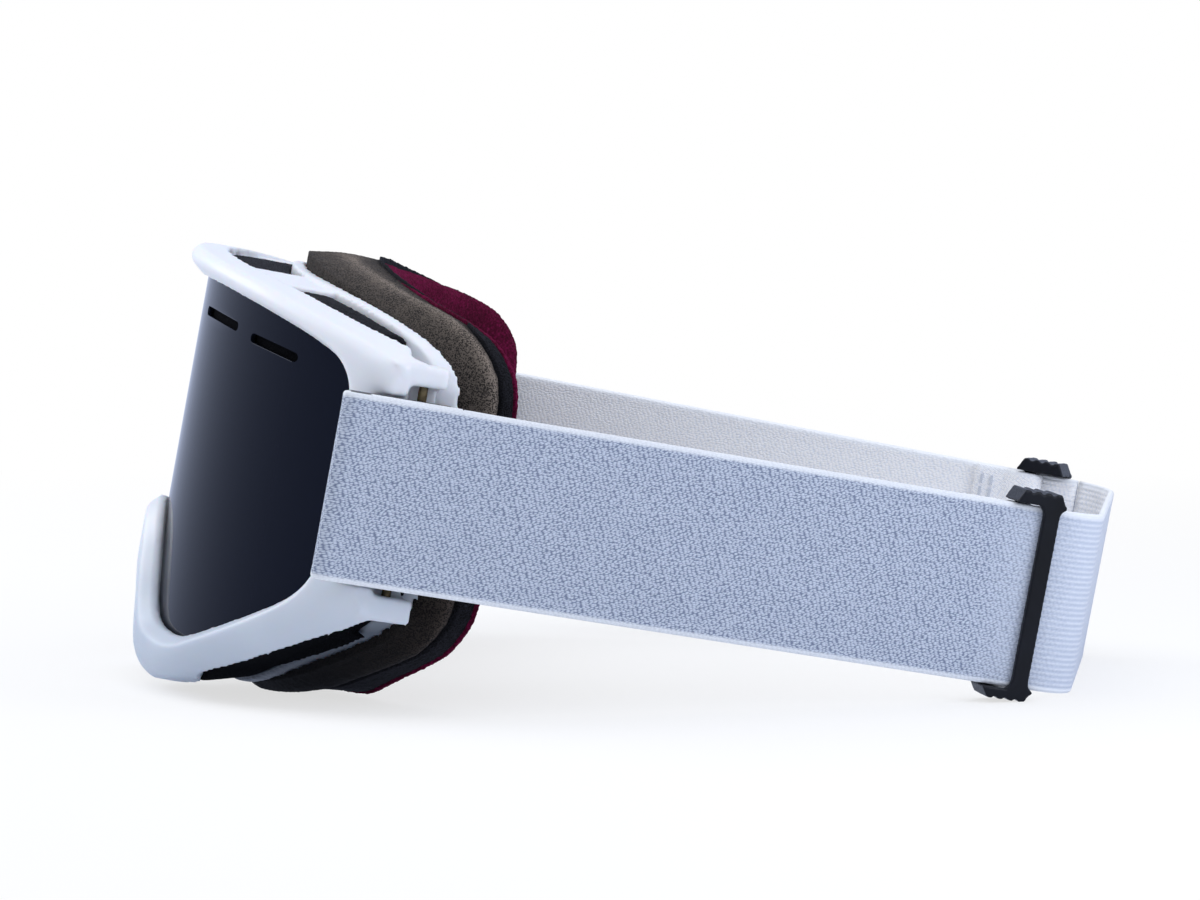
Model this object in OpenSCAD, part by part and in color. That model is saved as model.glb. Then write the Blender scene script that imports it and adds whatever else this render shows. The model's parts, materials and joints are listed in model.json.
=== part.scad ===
// Snowboard goggles with a cylindrical double lens, three-layer face foam and a clip-on strap.
// The pieces are drawn upright: X to the wearer's left, Y from the lens to the back of the head,
// Z up the lens. standing() leans them back to the way the goggles rest on a table.

/* [Stance] */
// Angle that the goggles lean back when they stand on a table
lean = 10.5; // [9.5:0.5:11.5]
// Height of the table above the upright frame's origin, which sets how flat the foam rests
table_h = -0.816; // [-1.2:0.05:-0.7]

/* [Lens] */
// Outer radius of the cylindrical lens, seen from above
lens_r = 93; // [90:0.5:96]
// Thickness of the outer lens
lens_t = 1.2; // [0.9:0.1:1.6]
// Thickness of the inner lens
inner_lens_t = 0.8; // [0.6:0.1:1]
// Air gap between the two lenses
lens_gap = 2.5; // [2:0.1:3]
// How far the outer lens reaches under the rim
lens_cover = 1.6; // [1.2:0.1:2]
// Width of the foam gasket between the lenses
gasket_w = 4; // [3:0.25:4.5]
// Height of the vent slots in the lens
slot_h = 2; // [1.5:0.1:2.4]

/* [Front frame] */
// Distance that the rim stands in front of the lens
rim_proud = 4.5; // [3:0.25:6]
// Thickness of the rim from front to back at the brow
rim_t = 6; // [5:0.25:7]
// Thickness of the rim from front to back at the cheeks and nose
rim_low_t = 10; // [9.5:0.25:11]
// Wall of the collar round the lenses
collar_wall = 1.4; // [1.2:0.1:1.6]
// Rear end of the cheek blocks
cheek_back = -25.5; // [-26.5:0.25:-24.5]
// Bottom of the cheek blocks
cheek_low = 15; // [14:0.5:17]
// Top of the cheek blocks
cheek_high = 69.6; // [68.5:0.25:70.5]
// Angle of the cheek sides, seen from above
cheek_toe = 17; // [15:0.5:18]
// Bottom of the slot that holds the strap clip
pocket_low = 20; // [19:0.25:20.5]
// Top of the slot that holds the strap clip
pocket_high = 65; // [64.5:0.25:66]

/* [Rear frame] */
// Radius of the face plate, seen from above
plate_r = 93; // [90:0.5:96]
// Distance from the lens axis to the face plate's axis
plate_set_back = 21.2; // [20:0.2:22]
// Thickness of the face plate
plate_t = 3; // [2.4:0.2:3.4]
// Distance from the face plate's outer edge to the middle of the face foam
foam_inset = 5.5; // [5:0.25:6]
// Thickness of the wall between the rim and the face plate
wall_t = 2; // [1.6:0.1:2.4]
// Near edge of the web that splits the brow vent
web_near = 29; // [26:1:32]
// Far edge of the web that splits the brow vent
web_far = 47; // [44:1:50]
// Thickness of the foam in the vents
vent_foam_t = 5.2; // [4.5:0.1:5.5]

/* [Face foam] */
// Thickness of the firm layer on the face plate
firm_t = 9; // [8:0.2:10]
// Thickness of the soft layer
soft_t = 7.4; // [6.6:0.2:8]
// Thickness of the fleece lining
fleece_t = 1.6; // [1.2:0.1:2]
// Width of the face foam
foam_w = 12; // [11:0.25:12.5]
// How far the foam swells at its edges
foam_crown = 2; // [1:0.25:2.5]

/* [Strap] */
// Width of the strap
strap_w = 40; // [39:0.5:40.5]
// Thickness of the strap
strap_t = 1.4; // [1.2:0.1:1.5]
// Height of the strap's middle line on the lens
strap_mid = 42; // [41.5:0.25:42.5]
// Angle of the left side of the strap towards the middle
toe_left = 13.75; // [12.5:0.25:15]
// Angle of the right side of the strap towards the middle
toe_right = 20.5; // [19:0.25:21]
// Angle that the right side of the strap rises to the back
rise_right = 0.7; // [0.5:0.1:0.9]
// Distance from the left clip pin to the middle of its slider
slider_left_at = 137.7; // [110:1:142]
// Distance from the right clip pin to the middle of its slider
slider_right_at = 154; // [125:1:156]
// Radius of the strap's bends behind the head
bend_r = 10; // [8:0.5:14]

/* [Strap clips and pins] */
// Radius of the metal pin in each cheek
pin_r = 1; // [0.8:0.1:1.2]
// Distance from the pin to the front edge of the folded strap
fold_reach = 18.3; // [17.5:0.1:19]
// Thickness of the clip plate
clip_t = 1.6; // [1.4:0.1:1.8]
// Length of the clip plate behind the pin
clip_tail = 6; // [5:0.25:6.5]
// Radius of the hook on the pin
hook_r = 2.2; // [2:0.05:2.3]
// Radius of the bar that the strap is folded round
fold_bar_r = 0.75; // [0.6:0.05:0.85]

/* [Sliders] */
// Length of a slider along the strap
slider_l = 11.6; // [10.5:0.2:13]
// Width of the bar that shows outside the strap
slider_bar_w = 3.6; // [3:0.1:4]
// Thickness of the bar that shows outside the strap
slider_bar_t = 1.6; // [1.2:0.1:2]
// Height of a slider above the strap's top edge
slider_top_h = 3; // [2.4:0.1:3.4]
// Depth of a slider below the strap's bottom edge
slider_low_h = 2.4; // [2:0.1:2.6]

/* [Hidden] */
$fn = 96;

// Clearances: between parts that are assembled, in a running fit, and round soft parts.
fit = 0.2;
running = 0.04;
soft_gap = 0.3;
layer_gap = 0.12;

// Axes of the lens and of the face plate.
lens_y = 9.5;
plate_y = lens_y + plate_set_back;
rim_r = lens_r + rim_proud;
rim_back_r = rim_r - rim_t;
rim_low_back_r = rim_r - rim_low_t;
recess_r = lens_r + fit;
inner_lens_r = lens_r - lens_t - lens_gap;
wall_front_r = inner_lens_r - inner_lens_t - fit;
plate_front_r = plate_r + plate_t;
front_reach = 110;
rear_reach = 12;

// Half outlines seen from the front, from the top middle down the wearer's left to the bottom middle.
rim_points = [[0, 82.8], [19, 82.4], [38, 81.2], [56, 79], [66, 76.6], [75, 73.7], [81, 71],
    [85, 68], [86.5, 60], [87, 42], [86.5, 24], [84, 15.5], [76, 7.4], [64, -0.4], [50, -6.2],
    [38, -9.9], [28, -12.3], [20.8, -11.6], [15.8, -7.2], [12, -0.6], [7.8, 6.8], [0, 11]];
window_points = [[0, 77.2], [19, 77], [38, 76.3], [53, 74.5], [64, 72.1], [70.6, 69.8],
    [75.4, 66.8], [77.7, 61.6], [78.3, 51], [78.4, 36], [77.6, 23.6], [74, 15.8], [66, 9],
    [56, 3.2], [47, -0.4], [38, -0.8], [30, 0.6], [24.6, 4.4], [20.2, 11.2], [15, 18.6],
    [8, 23.4], [0, 24.6]];
core_points = [[0, 75], [19, 74.8], [38, 74.1], [53, 72.4], [64, 70.2], [70.6, 67.6],
    [74.6, 62], [75.6, 52], [75.9, 36], [75.2, 23.6], [72, 16.4], [66, 10.4], [56, 4.6],
    [47, 1], [38, 0.6], [30, 2], [25.2, 5.6], [20.8, 12.2], [15.4, 19.6], [8, 24.4], [0, 25.6]];
plate_points = [[0, 82.8], [19, 82], [37, 81], [51, 79.4], [61, 77.4], [69, 74.4], [74, 70.6],
    [76.4, 65], [77, 52], [77, 36], [76, 22], [73, 13.6], [66, 6.4], [53, -1.8], [41, -7.4],
    [30, -9.9], [22.5, -8.8], [16.5, -2.8], [12, 5.2], [7, 11.6], [0, 14]];

eye_points = [[0, 71], [19, 70.6], [36, 69.6], [48, 67.6], [57, 65], [62.5, 61.6], [65.2, 55],
    [65.8, 46], [65.8, 34], [64.6, 25], [60.6, 18], [53, 12.6], [44, 8.4], [36, 7.2], [30.6, 9.6],
    [26, 15.6], [20.6, 22.4], [12, 27.6], [0, 29.2]];

// A closed smooth curve through the points of a half outline and their mirror image.
function both_halves(half) =
    concat(half, [for (i = [len(half) - 2 : -1 : 1]) [-half[i][0], half[i][1]]]);
function between(a, b, c, d, t) =
    0.5 * (2 * b + (c - a) * t + (2 * a - 5 * b + 4 * c - d) * t * t
    + (3 * b - a - 3 * c + d) * t * t * t);
function smooth(p, steps) = let (n = len(p))
    [for (i = [0 : n - 1], j = [0 : steps - 1])
        between(p[(i + n - 1) % n], p[i], p[(i + 1) % n], p[(i + 2) % n], j / steps)];
function unit(v) = v / norm(v);
function outward(p, i) = let (n = len(p), along = unit(p[(i + 1) % n] - p[(i + n - 1) % n]))
    [-along[1], along[0]];
function grow(p, d) = [for (i = [0 : len(p) - 1]) p[i] + d * outward(p, i)];

outline_steps = 2;
rim_outline = smooth(both_halves(rim_points), outline_steps);
window_outline = smooth(both_halves(window_points), outline_steps);
core_outline = smooth(both_halves(core_points), outline_steps);
plate_outline = smooth(both_halves(plate_points), outline_steps);
eye_outline = smooth(both_halves(eye_points), outline_steps);

// Lens vent slots on the wearer's left: the two ends of each slot's middle line.
lens_slots = [[[21, 69.3], [41.8, 68.2]], [[49.8, 66.8], [62.6, 65.1]]];

// Clip pins, and the layers of the strap counted outwards from the pin.
pin_x = 79.6;
pin_y = -30.5;
pin_low = 16.6;
pin_high = 68.4;
plate_in = 1.9;
plate_out = plate_in + clip_t;
fold_in = plate_out + soft_gap;
fold_gap = 2 * fold_bar_r + 0.5;
outer_n = fold_in + strap_t + fold_gap + strap_t / 2;
run_gap = 0.4;
inner_n = outer_n - strap_t - run_gap;
fold_inner_n = fold_in + strap_t / 2;
fold_mid_n = (outer_n + fold_inner_n) / 2;
fold_bend_r = (outer_n - fold_inner_n) / 2;
fold_bar_y = -fold_reach + fold_bend_r + strap_t / 2;
fold_end = 8;
strap_start = fold_end + 1;
rail_t = 0.9;
fold_w = strap_w - 2 * (rail_t + 0.2);
strap_low = strap_mid - strap_w / 2;
strap_high = strap_mid + strap_w / 2;
pocket_x = pin_x - hook_r - 0.3;
pocket_front = pin_y - hook_r - 0.8;
cheek_face = 3.2;
channel_face = 0.5;
channel_gap = 0.4;

// Values of one side: 1 is the wearer's left, -1 the right.
function toe(side) = side > 0 ? toe_left : toe_right;
function rise(side) = side > 0 ? 0 : rise_right;
function slider_at(side) = side > 0 ? slider_left_at : slider_right_at;
function side_point(side, along, out) =
    [side * (pin_x + out * cos(toe(side)) - along * sin(toe(side))),
     pin_y + out * sin(toe(side)) + along * cos(toe(side))];
function side_rise(side, along) = along * tan(rise(side));

// Where each side of the strap ends, and the arcs behind the head.
run_on = slider_l / 2 + 2.2;
function run_end(side) = side_point(side, slider_at(side) + run_on, outer_n);
function bend_centre(side) = side_point(side, slider_at(side) + run_on, outer_n - bend_r);
rear_tilt = let (d = bend_centre(1) - bend_centre(-1)) atan2(-d[1], d[0]);
function bend(side, from, to, steps) =
    [for (i = [0 : steps]) let (a = from + (to - from) * i / steps)
        bend_centre(side) + bend_r * [cos(a), sin(a)]];
rear_path = concat(
    bend(1, toe_left, 90 - rear_tilt, 10),
    [(bend_centre(1) + bend_centre(-1)) / 2 + bend_r * [sin(rear_tilt), cos(rear_tilt)]],
    bend(-1, 90 - rear_tilt, 180 - toe_right, 10));

// The middle of the box round the whole object.
nose_tip = [15, 0];
nose_y = lens_y - sqrt(pow(rim_r, 2) - pow(nose_tip[0], 2));
front_y = nose_y * cos(lean) + nose_tip[1] * sin(lean);
rear_top = strap_high + side_rise(-1, slider_right_at + run_on);
rear_y = (bend_centre(-1)[1] + bend_r + strap_t / 2) * cos(lean) + rear_top * sin(lean);
function fold_x(side) = abs(side_point(side, fold_bar_y, outer_n + strap_t / 2)[0]);
middle_x = (fold_x(1) - fold_x(-1)) / 2;
middle_y = (front_y + rear_y) / 2;

module standing() {
    translate([-middle_x, -middle_y, -table_h]) rotate([-lean, 0, 0]) children();
}

module above_table() {
    difference() {
        standing() children();
        translate([-200, -200, -20]) cube([400, 400, 20]);
    }
}

module on_side(side) {
    mirror([side > 0 ? 0 : 1, 0, 0]) children();
}

// Local axes at a clip pin: X outwards, Y back along the strap, Z up.
module at_pin(side) {
    on_side(side) translate([pin_x, pin_y, 0]) rotate([0, 0, toe(side)]) children();
}

module along_strap(side) {
    at_pin(side) translate([0, 0, strap_mid]) rotate([rise(side), 0, 0]) translate([0, 0, -strap_mid])
        children();
}

// Extrudes an outline seen from the front through the whole depth of the frame.
module facing() {
    translate([0, rear_reach, 0]) rotate([90, 0, 0]) linear_extrude(front_reach + rear_reach) children();
}

module ring(outer, inner) {
    difference() {
        polygon(outer);
        polygon(inner);
    }
}

module upright(r, y) {
    translate([0, y, -40]) cylinder(r = r, h = 160, $fn = 180);
}

module shell(r_in, r_out, y) {
    difference() {
        upright(r_out, y);
        upright(r_in, y);
    }
}

module slot_2d(ends, w) {
    span = ends[1] - ends[0];
    translate(ends[0]) rotate(atan2(span[1], span[0])) {
        translate([0, -w / 2]) square([norm(span), w]);
        circle(d = w, $fn = 32);
        translate([norm(span), 0]) circle(d = w, $fn = 32);
    }
}

module lens_slot_cuts(w) {
    for (side = [-1, 1], ends = lens_slots)
        on_side(side) facing() slot_2d(ends, w);
}

// A band of strap that follows a path seen from above, with its lower edge at z = 0.
function path_normal(p, i) = let (a = p[max(i - 1, 0)], b = p[min(i + 1, len(p) - 1)], d = unit(b - a))
    [d[1], -d[0]];
function band_outline(p, t) = concat(
    [for (i = [0 : len(p) - 1]) p[i] + t / 2 * path_normal(p, i)],
    [for (i = [len(p) - 1 : -1 : 0]) p[i] - t / 2 * path_normal(p, i)]);

module band(path, w) {
    linear_extrude(w) polygon(band_outline(path, strap_t));
}

// Steps across the rim's front, from the edges inwards: share of the height, distance from the edge.
rim_steps = [[0.4, 0], [0.75, 1.4], [1, 3]];
rim_seat_r = lens_r + rim_steps[0][0] * rim_proud;
core_cover = 0.8;

// Front frame: rim, collar round the lenses and the two cheek blocks that carry the clip pins.
module front_frame() {
    color("white") above_table() difference() {
        union() {
            for (step = rim_steps) intersection() {
                shell(rim_back_r, lens_r + step[0] * rim_proud, lens_y);
                facing() ring(grow(rim_outline, -step[1]), grow(window_outline, step[1]));
            }
            intersection() {
                shell(rim_low_back_r, rim_seat_r, lens_y);
                facing() difference() {
                    ring(rim_outline, core_outline);
                    translate([-100, cheek_low + 5]) square([200, 100]);
                }
            }
            intersection() {
                shell(rim_low_back_r, rim_seat_r, lens_y);
                facing() ring(grow(window_outline, lens_cover + fit + collar_wall), core_outline);
            }
            for (side = [-1, 1]) on_side(side) cheek_block();
        }
        intersection() {
            shell(lens_r - lens_t - fit, recess_r, lens_y);
            facing() polygon(grow(window_outline, lens_cover + fit));
        }
        intersection() {
            upright(recess_r, lens_y);
            facing() polygon(grow(core_outline, core_cover));
        }
        intersection() {
            shell(recess_r - 0.1, rim_r + 1, lens_y);
            facing() polygon(window_outline);
        }
        for (side = [-1, 1]) on_side(side) {
            cheek_cuts();
            lower_vent();
        }
        upright(plate_front_r + fit, plate_y);
    }
}

cheek_in = 75.6;
module cheek_block() {
    intersection() {
        translate([cheek_in, -60, cheek_low]) cube([30, 60 + cheek_back, cheek_high - cheek_low]);
        upright(rim_r, lens_y);
    }
}

// Opening behind the rim's thin lower edge, between the lobe and the cheek.
vent_back_r = rim_r - 4.3;
lobe_end = 50;
module lower_vent() {
    intersection() {
        upright(vent_back_r, lens_y);
        facing() difference() {
            translate([lobe_end, -20]) square([40, 19.5 + cheek_low]);
            polygon(grow(window_outline, lens_cover + fit + collar_wall));
        }
    }
}

module cheek_cuts() {
    translate([pin_x, pin_y, 0]) rotate([0, 0, cheek_toe]) {
        translate([cheek_face, -60, -40]) cube([40, 100, 160]);
        translate([channel_face, -60, strap_low - channel_gap])
            cube([40, 100, strap_w + 2 * channel_gap]);
    }
    translate([pocket_x, pocket_front, pocket_low]) cube([30, 30, pocket_high - pocket_low]);
    translate([pin_x, pin_y, pin_low]) cylinder(r = pin_r + running, h = pin_high - pin_low + 0.2);
}

// Rear frame: the face plate, the wall that joins it to the lenses and the webs in the vents.
wall_out = 0.6;
web_top = 0.9;
module rear_frame() {
    color("whitesmoke") standing() {
        union() {
            intersection() {
                shell(plate_r, plate_front_r, plate_y);
                facing() ring(plate_outline, eye_outline);
            }
            difference() {
                intersection() {
                    upright(wall_front_r, lens_y);
                    facing() ring(grow(core_outline, -wall_out),
                        grow(core_outline, -wall_out - wall_t));
                }
                upright(plate_r + plate_t / 2, plate_y);
                vent_cuts();
            }
            vent_webs();
        }
    }
}

module vent_webs() {
    difference() {
        union() {
            intersection() {
                upright(rim_low_back_r - fit, lens_y);
                facing() ring(grow(rim_outline, -web_top), grow(core_outline, -wall_out - wall_t / 2));
                web_slabs();
            }
            intersection() {
                upright(rim_back_r - fit, lens_y);
                facing() ring(grow(rim_outline, -web_top),
                    grow(window_outline, lens_cover + collar_wall + 2 * fit));
                web_slabs();
            }
        }
        upright(plate_r + plate_t / 2, plate_y);
        translate([-100, -100, -50]) cube([200, 100, 80]);
    }
}

module web_slabs() {
    for (side = [-1, 1]) on_side(side)
        translate([web_near, -100, -50]) cube([web_far - web_near, 100, 160]);
}

// Openings in the wall behind the vent foam, at the brow and at the cheeks.
module vent_cuts() {
    for (x = [-62, -18, 18, 62])
        translate([x - 7, -100, 60]) cube([14, 100, 40]);
    for (x = [-36, 36])
        translate([x - 10, -100, -40]) cube([20, 100, 45]);
}

module lens_outer() {
    color([0.12, 0.13, 0.16, 0.6]) standing() difference() {
        intersection() {
            shell(lens_r - lens_t, lens_r, lens_y);
            facing() polygon(grow(window_outline, lens_cover));
        }
        lens_slot_cuts(slot_h);
    }
}

inner_lens_cover = 0.5;
module lens_inner() {
    color([0.75, 0.78, 0.8, 0.5]) standing() difference() {
        intersection() {
            shell(inner_lens_r - inner_lens_t, inner_lens_r, lens_y);
            facing() polygon(grow(core_outline, inner_lens_cover));
        }
        lens_slot_cuts(slot_h);
    }
}

module between_lenses() {
    intersection() {
        shell(inner_lens_r + layer_gap, lens_r - lens_t - layer_gap, lens_y);
        facing() children();
    }
}

module lens_gasket() {
    color("black") standing() difference() {
        between_lenses()
            ring(grow(core_outline, inner_lens_cover), grow(core_outline, inner_lens_cover - gasket_w));
        lens_slot_cuts(lens_foam_h + 2 * layer_gap);
    }
}

lens_foam_h = 4.6;
module lens_vent_foam() {
    color("dimgray") standing()
        for (side = [-1, 1], ends = lens_slots)
            on_side(side) between_lenses() slot_2d(ends, lens_foam_h);
}

// Foam that fills the space between the rim, the wall and the face plate.
module vent_foam(low, high) {
    difference() {
        intersection() {
            upright(rim_low_back_r - soft_gap, lens_y);
            facing() intersection() {
                ring(grow(core_outline, vent_foam_t - wall_out), grow(core_outline, layer_gap - wall_out));
                translate([-72, low]) square([144, high - low]);
            }
        }
        upright(plate_front_r + layer_gap, plate_y);
        children();
    }
}

module vent_foam_top() {
    color("black") standing() vent_foam(62, 90) {
        for (side = [-1, 1]) on_side(side)
            translate([web_near - layer_gap, -100, 0])
                cube([web_far - web_near + 2 * layer_gap, 100, 100]);
    }
}

module vent_foam_bottom() {
    color("black") standing() vent_foam(-20, 10) {
        translate([-14, -100, -20]) cube([28, 100, 60]);
    }
}

// Face foam: each layer is swept round the face plate with a crowned edge.
foam_path = grow(plate_outline, -foam_inset);
foam_lean = 0.3;
foam_lift = 0.1;
foam_drop = 0.15;
foam_flare = 0.12;
soft_side_t = 4.4;
function ramp(v, from, to) = max(0, min(1, (v - from) / (to - from)));
function plate_surface(x) = plate_y - sqrt(pow(plate_r, 2) - x * x);
function foam_back(x, z) = unit([-foam_lean * x / plate_r, sqrt(1 - pow(x / plate_r, 2)),
    ramp(-z, -30, 0) * (foam_lift - foam_drop * ramp(abs(x), 38, 50)) + foam_flare * ramp(z, 60, 75)]);
function foam_depth(x, deep) =
    deep - (soft_t - soft_side_t) * ramp(abs(x), 48, 70) * ramp(deep, firm_t, firm_t + soft_t);
function foam_point(i, across, deep) =
    let (c = foam_path[i], n = outward(foam_path, i), x = c[0] + across * n[0])
    [x, plate_surface(x), c[1] + across * n[1]] + foam_depth(c[0], deep) * foam_back(c[0], c[1]);

firm_section = [[-0.5, 0], [0.5, 0], [0.5, 0.15], [0.5, 0.5], [0.5, 0.9], [0.5, 1],
    [-0.5, 1], [-0.5, 0.9], [-0.5, 0.5], [-0.5, 0.15]];
soft_section = [[-0.5, 0], [0.5, 0], [0.49, 0.4], [0.42, 0.8], [0.3, 1], [-0.3, 1],
    [-0.42, 0.8], [-0.49, 0.4]];
fleece_section = [[-0.5, 0], [0.5, 0], [0.4, 1], [-0.4, 1]];

module swept_foam(section, w, base, thick, crown) {
    rings = len(foam_path);
    k = len(section);
    points = [for (i = [0 : rings - 1], s = section)
        foam_point(i, s[0] * w + sign(s[0]) * crown * sin(180 * s[1]), base + s[1] * thick)];
    faces = [for (i = [0 : rings - 1], j = [0 : k - 1], half = [0, 1])
        let (a = i * k + j, b = i * k + (j + 1) % k,
            c = ((i + 1) % rings) * k + (j + 1) % k, d = ((i + 1) % rings) * k + j)
        half == 0 ? [a, b, c] : [a, c, d]];
    polyhedron(points, faces);
}

module face_foam_firm() {
    color("dimgray") above_table()
        swept_foam(firm_section, foam_w - foam_crown, layer_gap, firm_t, foam_crown);
}

module face_foam_soft() {
    color("black") standing()
        swept_foam(soft_section, foam_w - 0.4, 2 * layer_gap + firm_t, soft_t, 0);
}

module fleece_lining() {
    color("maroon") standing()
        swept_foam(fleece_section, 0.6 * foam_w, 3 * layer_gap + firm_t + soft_t, fleece_t, 0);
}

module clip_pin(side) {
    color("darkgoldenrod") standing() at_pin(side)
        translate([0, 0, pin_low]) cylinder(r = pin_r, h = pin_high - pin_low);
}

// Strap clip: a plate under the folded strap, a bar inside the fold and a hook on the pin.
hook_h = 34;
hook_open = 1.7;
module strap_clip(side) {
    rail_front = fold_bar_y - fold_bar_r;
    color("black") standing() at_pin(side) difference() {
        union() {
            translate([plate_in, fold_bar_y + 4, strap_low])
                cube([clip_t, clip_tail - fold_bar_y - 4, strap_w]);
            for (z = [strap_low, strap_high - rail_t])
                translate([plate_in, rail_front, z])
                    cube([fold_mid_n + fold_bar_r - plate_in, 4.8, rail_t]);
            translate([fold_mid_n, fold_bar_y, strap_low]) cylinder(r = fold_bar_r, h = strap_w, $fn = 32);
            translate([0, 0, strap_mid - hook_h / 2]) cylinder(r = hook_r, h = hook_h);
            translate([0, -hook_r, strap_mid - hook_h / 2]) cube([plate_in + 0.1, 2 * hook_r, hook_h]);
        }
        translate([0, 0, strap_low - 1]) cylinder(r = pin_r + running, h = strap_w + 2);
        translate([-5, -hook_open / 2, strap_low - 1]) cube([5, hook_open, strap_w + 2]);
    }
}

// The folded front of the strap, which turns with the clip.
module strap_fold(side) {
    bend_path = [for (i = [0 : 12]) let (a = -i * 15)
        [fold_mid_n + fold_bend_r * cos(a), fold_bar_y + fold_bend_r * sin(a)]];
    color("lightsteelblue") standing() at_pin(side) {
        translate([outer_n - strap_t / 2, fold_bar_y + 2, strap_low])
            cube([strap_t, fold_end - fold_bar_y - 2, strap_w]);
        translate([0, 0, strap_mid - fold_w / 2])
            band(concat([[outer_n, fold_bar_y + 2]], bend_path, [[fold_inner_n, fold_end]]), fold_w);
    }
}

// The outer layer runs straight from the fold, through the slider, to the back of the head.
module strap_outer(side) {
    color("lightsteelblue") standing() along_strap(side)
        translate([outer_n - strap_t / 2, strap_start, strap_low])
            cube([strap_t, slider_at(side) + run_on - strap_start, strap_w]);
}

// The inner layer runs back from the fold and is sewn round the slider's hidden bar.
hidden_bar_t = 1.5;
hidden_bar_w = 2.4;
loop_r = hidden_bar_t / 2 + soft_gap + strap_t / 2;
function loop_y(side) = slider_at(side) - 0.6 - loop_r;
flap_l = 14;
module strap_inner(side) {
    turn = [for (i = [0 : 12]) let (a = 90 - i * 15)
        [inner_n - loop_r + loop_r * sin(a), loop_y(side) + loop_r * cos(a)]];
    path = concat([[fold_inner_n, strap_start], [inner_n, strap_start + 7]], turn,
        [[inner_n - 2 * loop_r, loop_y(side) - hidden_bar_w],
         [inner_n - strap_t - layer_gap, loop_y(side) - hidden_bar_w - 4],
         [inner_n - strap_t - layer_gap, loop_y(side) - flap_l]]);
    color("lightsteelblue") standing() along_strap(side) translate([0, 0, strap_low]) band(path, strap_w);
}

// Two rows of bar tack on the sewn end of the inner layer.
stitch_l = 2.2;
stitch_pitch = 3;
stitch_t = 0.4;
module strap_stitches(side) {
    tack_x = inner_n - 1.5 * strap_t - layer_gap - stitch_t;
    count = floor((strap_w - 4) / stitch_pitch);
    color("gainsboro") standing() along_strap(side)
        for (row = [0, 1], i = [0 : count - 1])
            translate([tack_x, loop_y(side) - flap_l + 2 + 2.4 * row,
                strap_mid + (i - (count - 1) / 2) * stitch_pitch - stitch_l / 2])
                cube([stitch_t, 0.6, stitch_l]);
}

// Slider: a flange above and below the strap, a bar outside it and a bar in the sewn loop.
notch_pitch = 2.4;
slider_in = inner_n - 2 * loop_r - strap_t / 2 - soft_gap;
slider_out = outer_n + strap_t / 2 + soft_gap + slider_bar_t;
edge_gap = 0.3;
end_slope = 1.6;
fillet_r = 2.2;
module slider(side) {
    top_z = strap_high + edge_gap;
    low_z = strap_low - edge_gap;
    color([0.08, 0.08, 0.09]) above_table() along_strap(side) translate([0, slider_at(side), 0]) {
        slider_flange(top_z, slider_top_h, 1);
        slider_flange(low_z, slider_low_h, -1);
        intersection() {
            translate([slider_out - slider_bar_t, 0, low_z - 1])
                cube([slider_bar_t, slider_l / 2, strap_w + 2 * edge_gap + 2]);
            translate([slider_out - slider_bar_t, 0, 0]) rotate([90, 0, 90])
                linear_extrude(slider_bar_t) bar_side(low_z, top_z);
        }
        translate([inner_n - loop_r - hidden_bar_t / 2, loop_y(side) - slider_at(side) - hidden_bar_w + 0.75,
            low_z - 0.5])
            cube([hidden_bar_t, hidden_bar_w, strap_w + 2 * edge_gap + 1]);
    }
}

module bar_side(low, high) {
    mid = 0.9 + slider_bar_w / 2;
    translate([0.9, low - 0.5]) square([slider_bar_w, high - low + 1]);
    for (dir = [-1, 1]) translate([mid, 0]) mirror([dir < 0 ? 1 : 0, 0]) translate([slider_bar_w / 2, 0]) {
        difference() {
            translate([-0.1, low - 0.5]) square([fillet_r + 0.1, fillet_r + 0.5]);
            translate([fillet_r, low + fillet_r]) circle(r = fillet_r, $fn = 32);
        }
        difference() {
            translate([-0.1, high - fillet_r]) square([fillet_r + 0.1, fillet_r + 0.5]);
            translate([fillet_r, high - fillet_r]) circle(r = fillet_r, $fn = 32);
        }
    }
}

module slider_flange(z, h, dir) {
    half = slider_l / 2;
    translate([slider_in, 0, z]) rotate([90, 0, 90]) linear_extrude(slider_out - slider_in) difference() {
        polygon([[-half, 0], [half, 0], [half - end_slope, dir * h], [end_slope - half, dir * h]]);
        for (i = [-1 : 1])
            translate([i * notch_pitch, dir * (h + 0.3)]) circle(r = 0.8, $fn = 32);
    }
}

// The single layer behind the head, which climbs a little from the left slider to the right.
module strap_rear() {
    last = len(rear_path) - 1;
    climb = side_rise(-1, slider_right_at + run_on);
    from_x = run_end(1)[0];
    outline = band_outline(rear_path, strap_t);
    count = len(outline);
    points = [for (z = [0, 1], i = [0 : count - 1])
        let (share = max(0, min(1, (from_x - outline[i][0]) / (from_x - run_end(-1)[0]))))
        [outline[i][0], outline[i][1], strap_low + z * strap_w + climb * share]];
    sides = [for (i = [0 : count - 1], half = [0, 1]) let (j = (i + 1) % count)
        half == 0 ? [i, i + count, j + count] : [i, j + count, j]];
    caps = [for (i = [0 : last - 1], half = [0, 1], z = [0, 1])
        let (a = i, b = i + 1, c = count - 2 - i, d = count - 1 - i,
            f = half == 0 ? [a, b, c] : [a, c, d])
        z == 0 ? f : [f[2] + count, f[1] + count, f[0] + count]];
    color("lightsteelblue") standing() polyhedron(points, concat(sides, caps));
}

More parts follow.
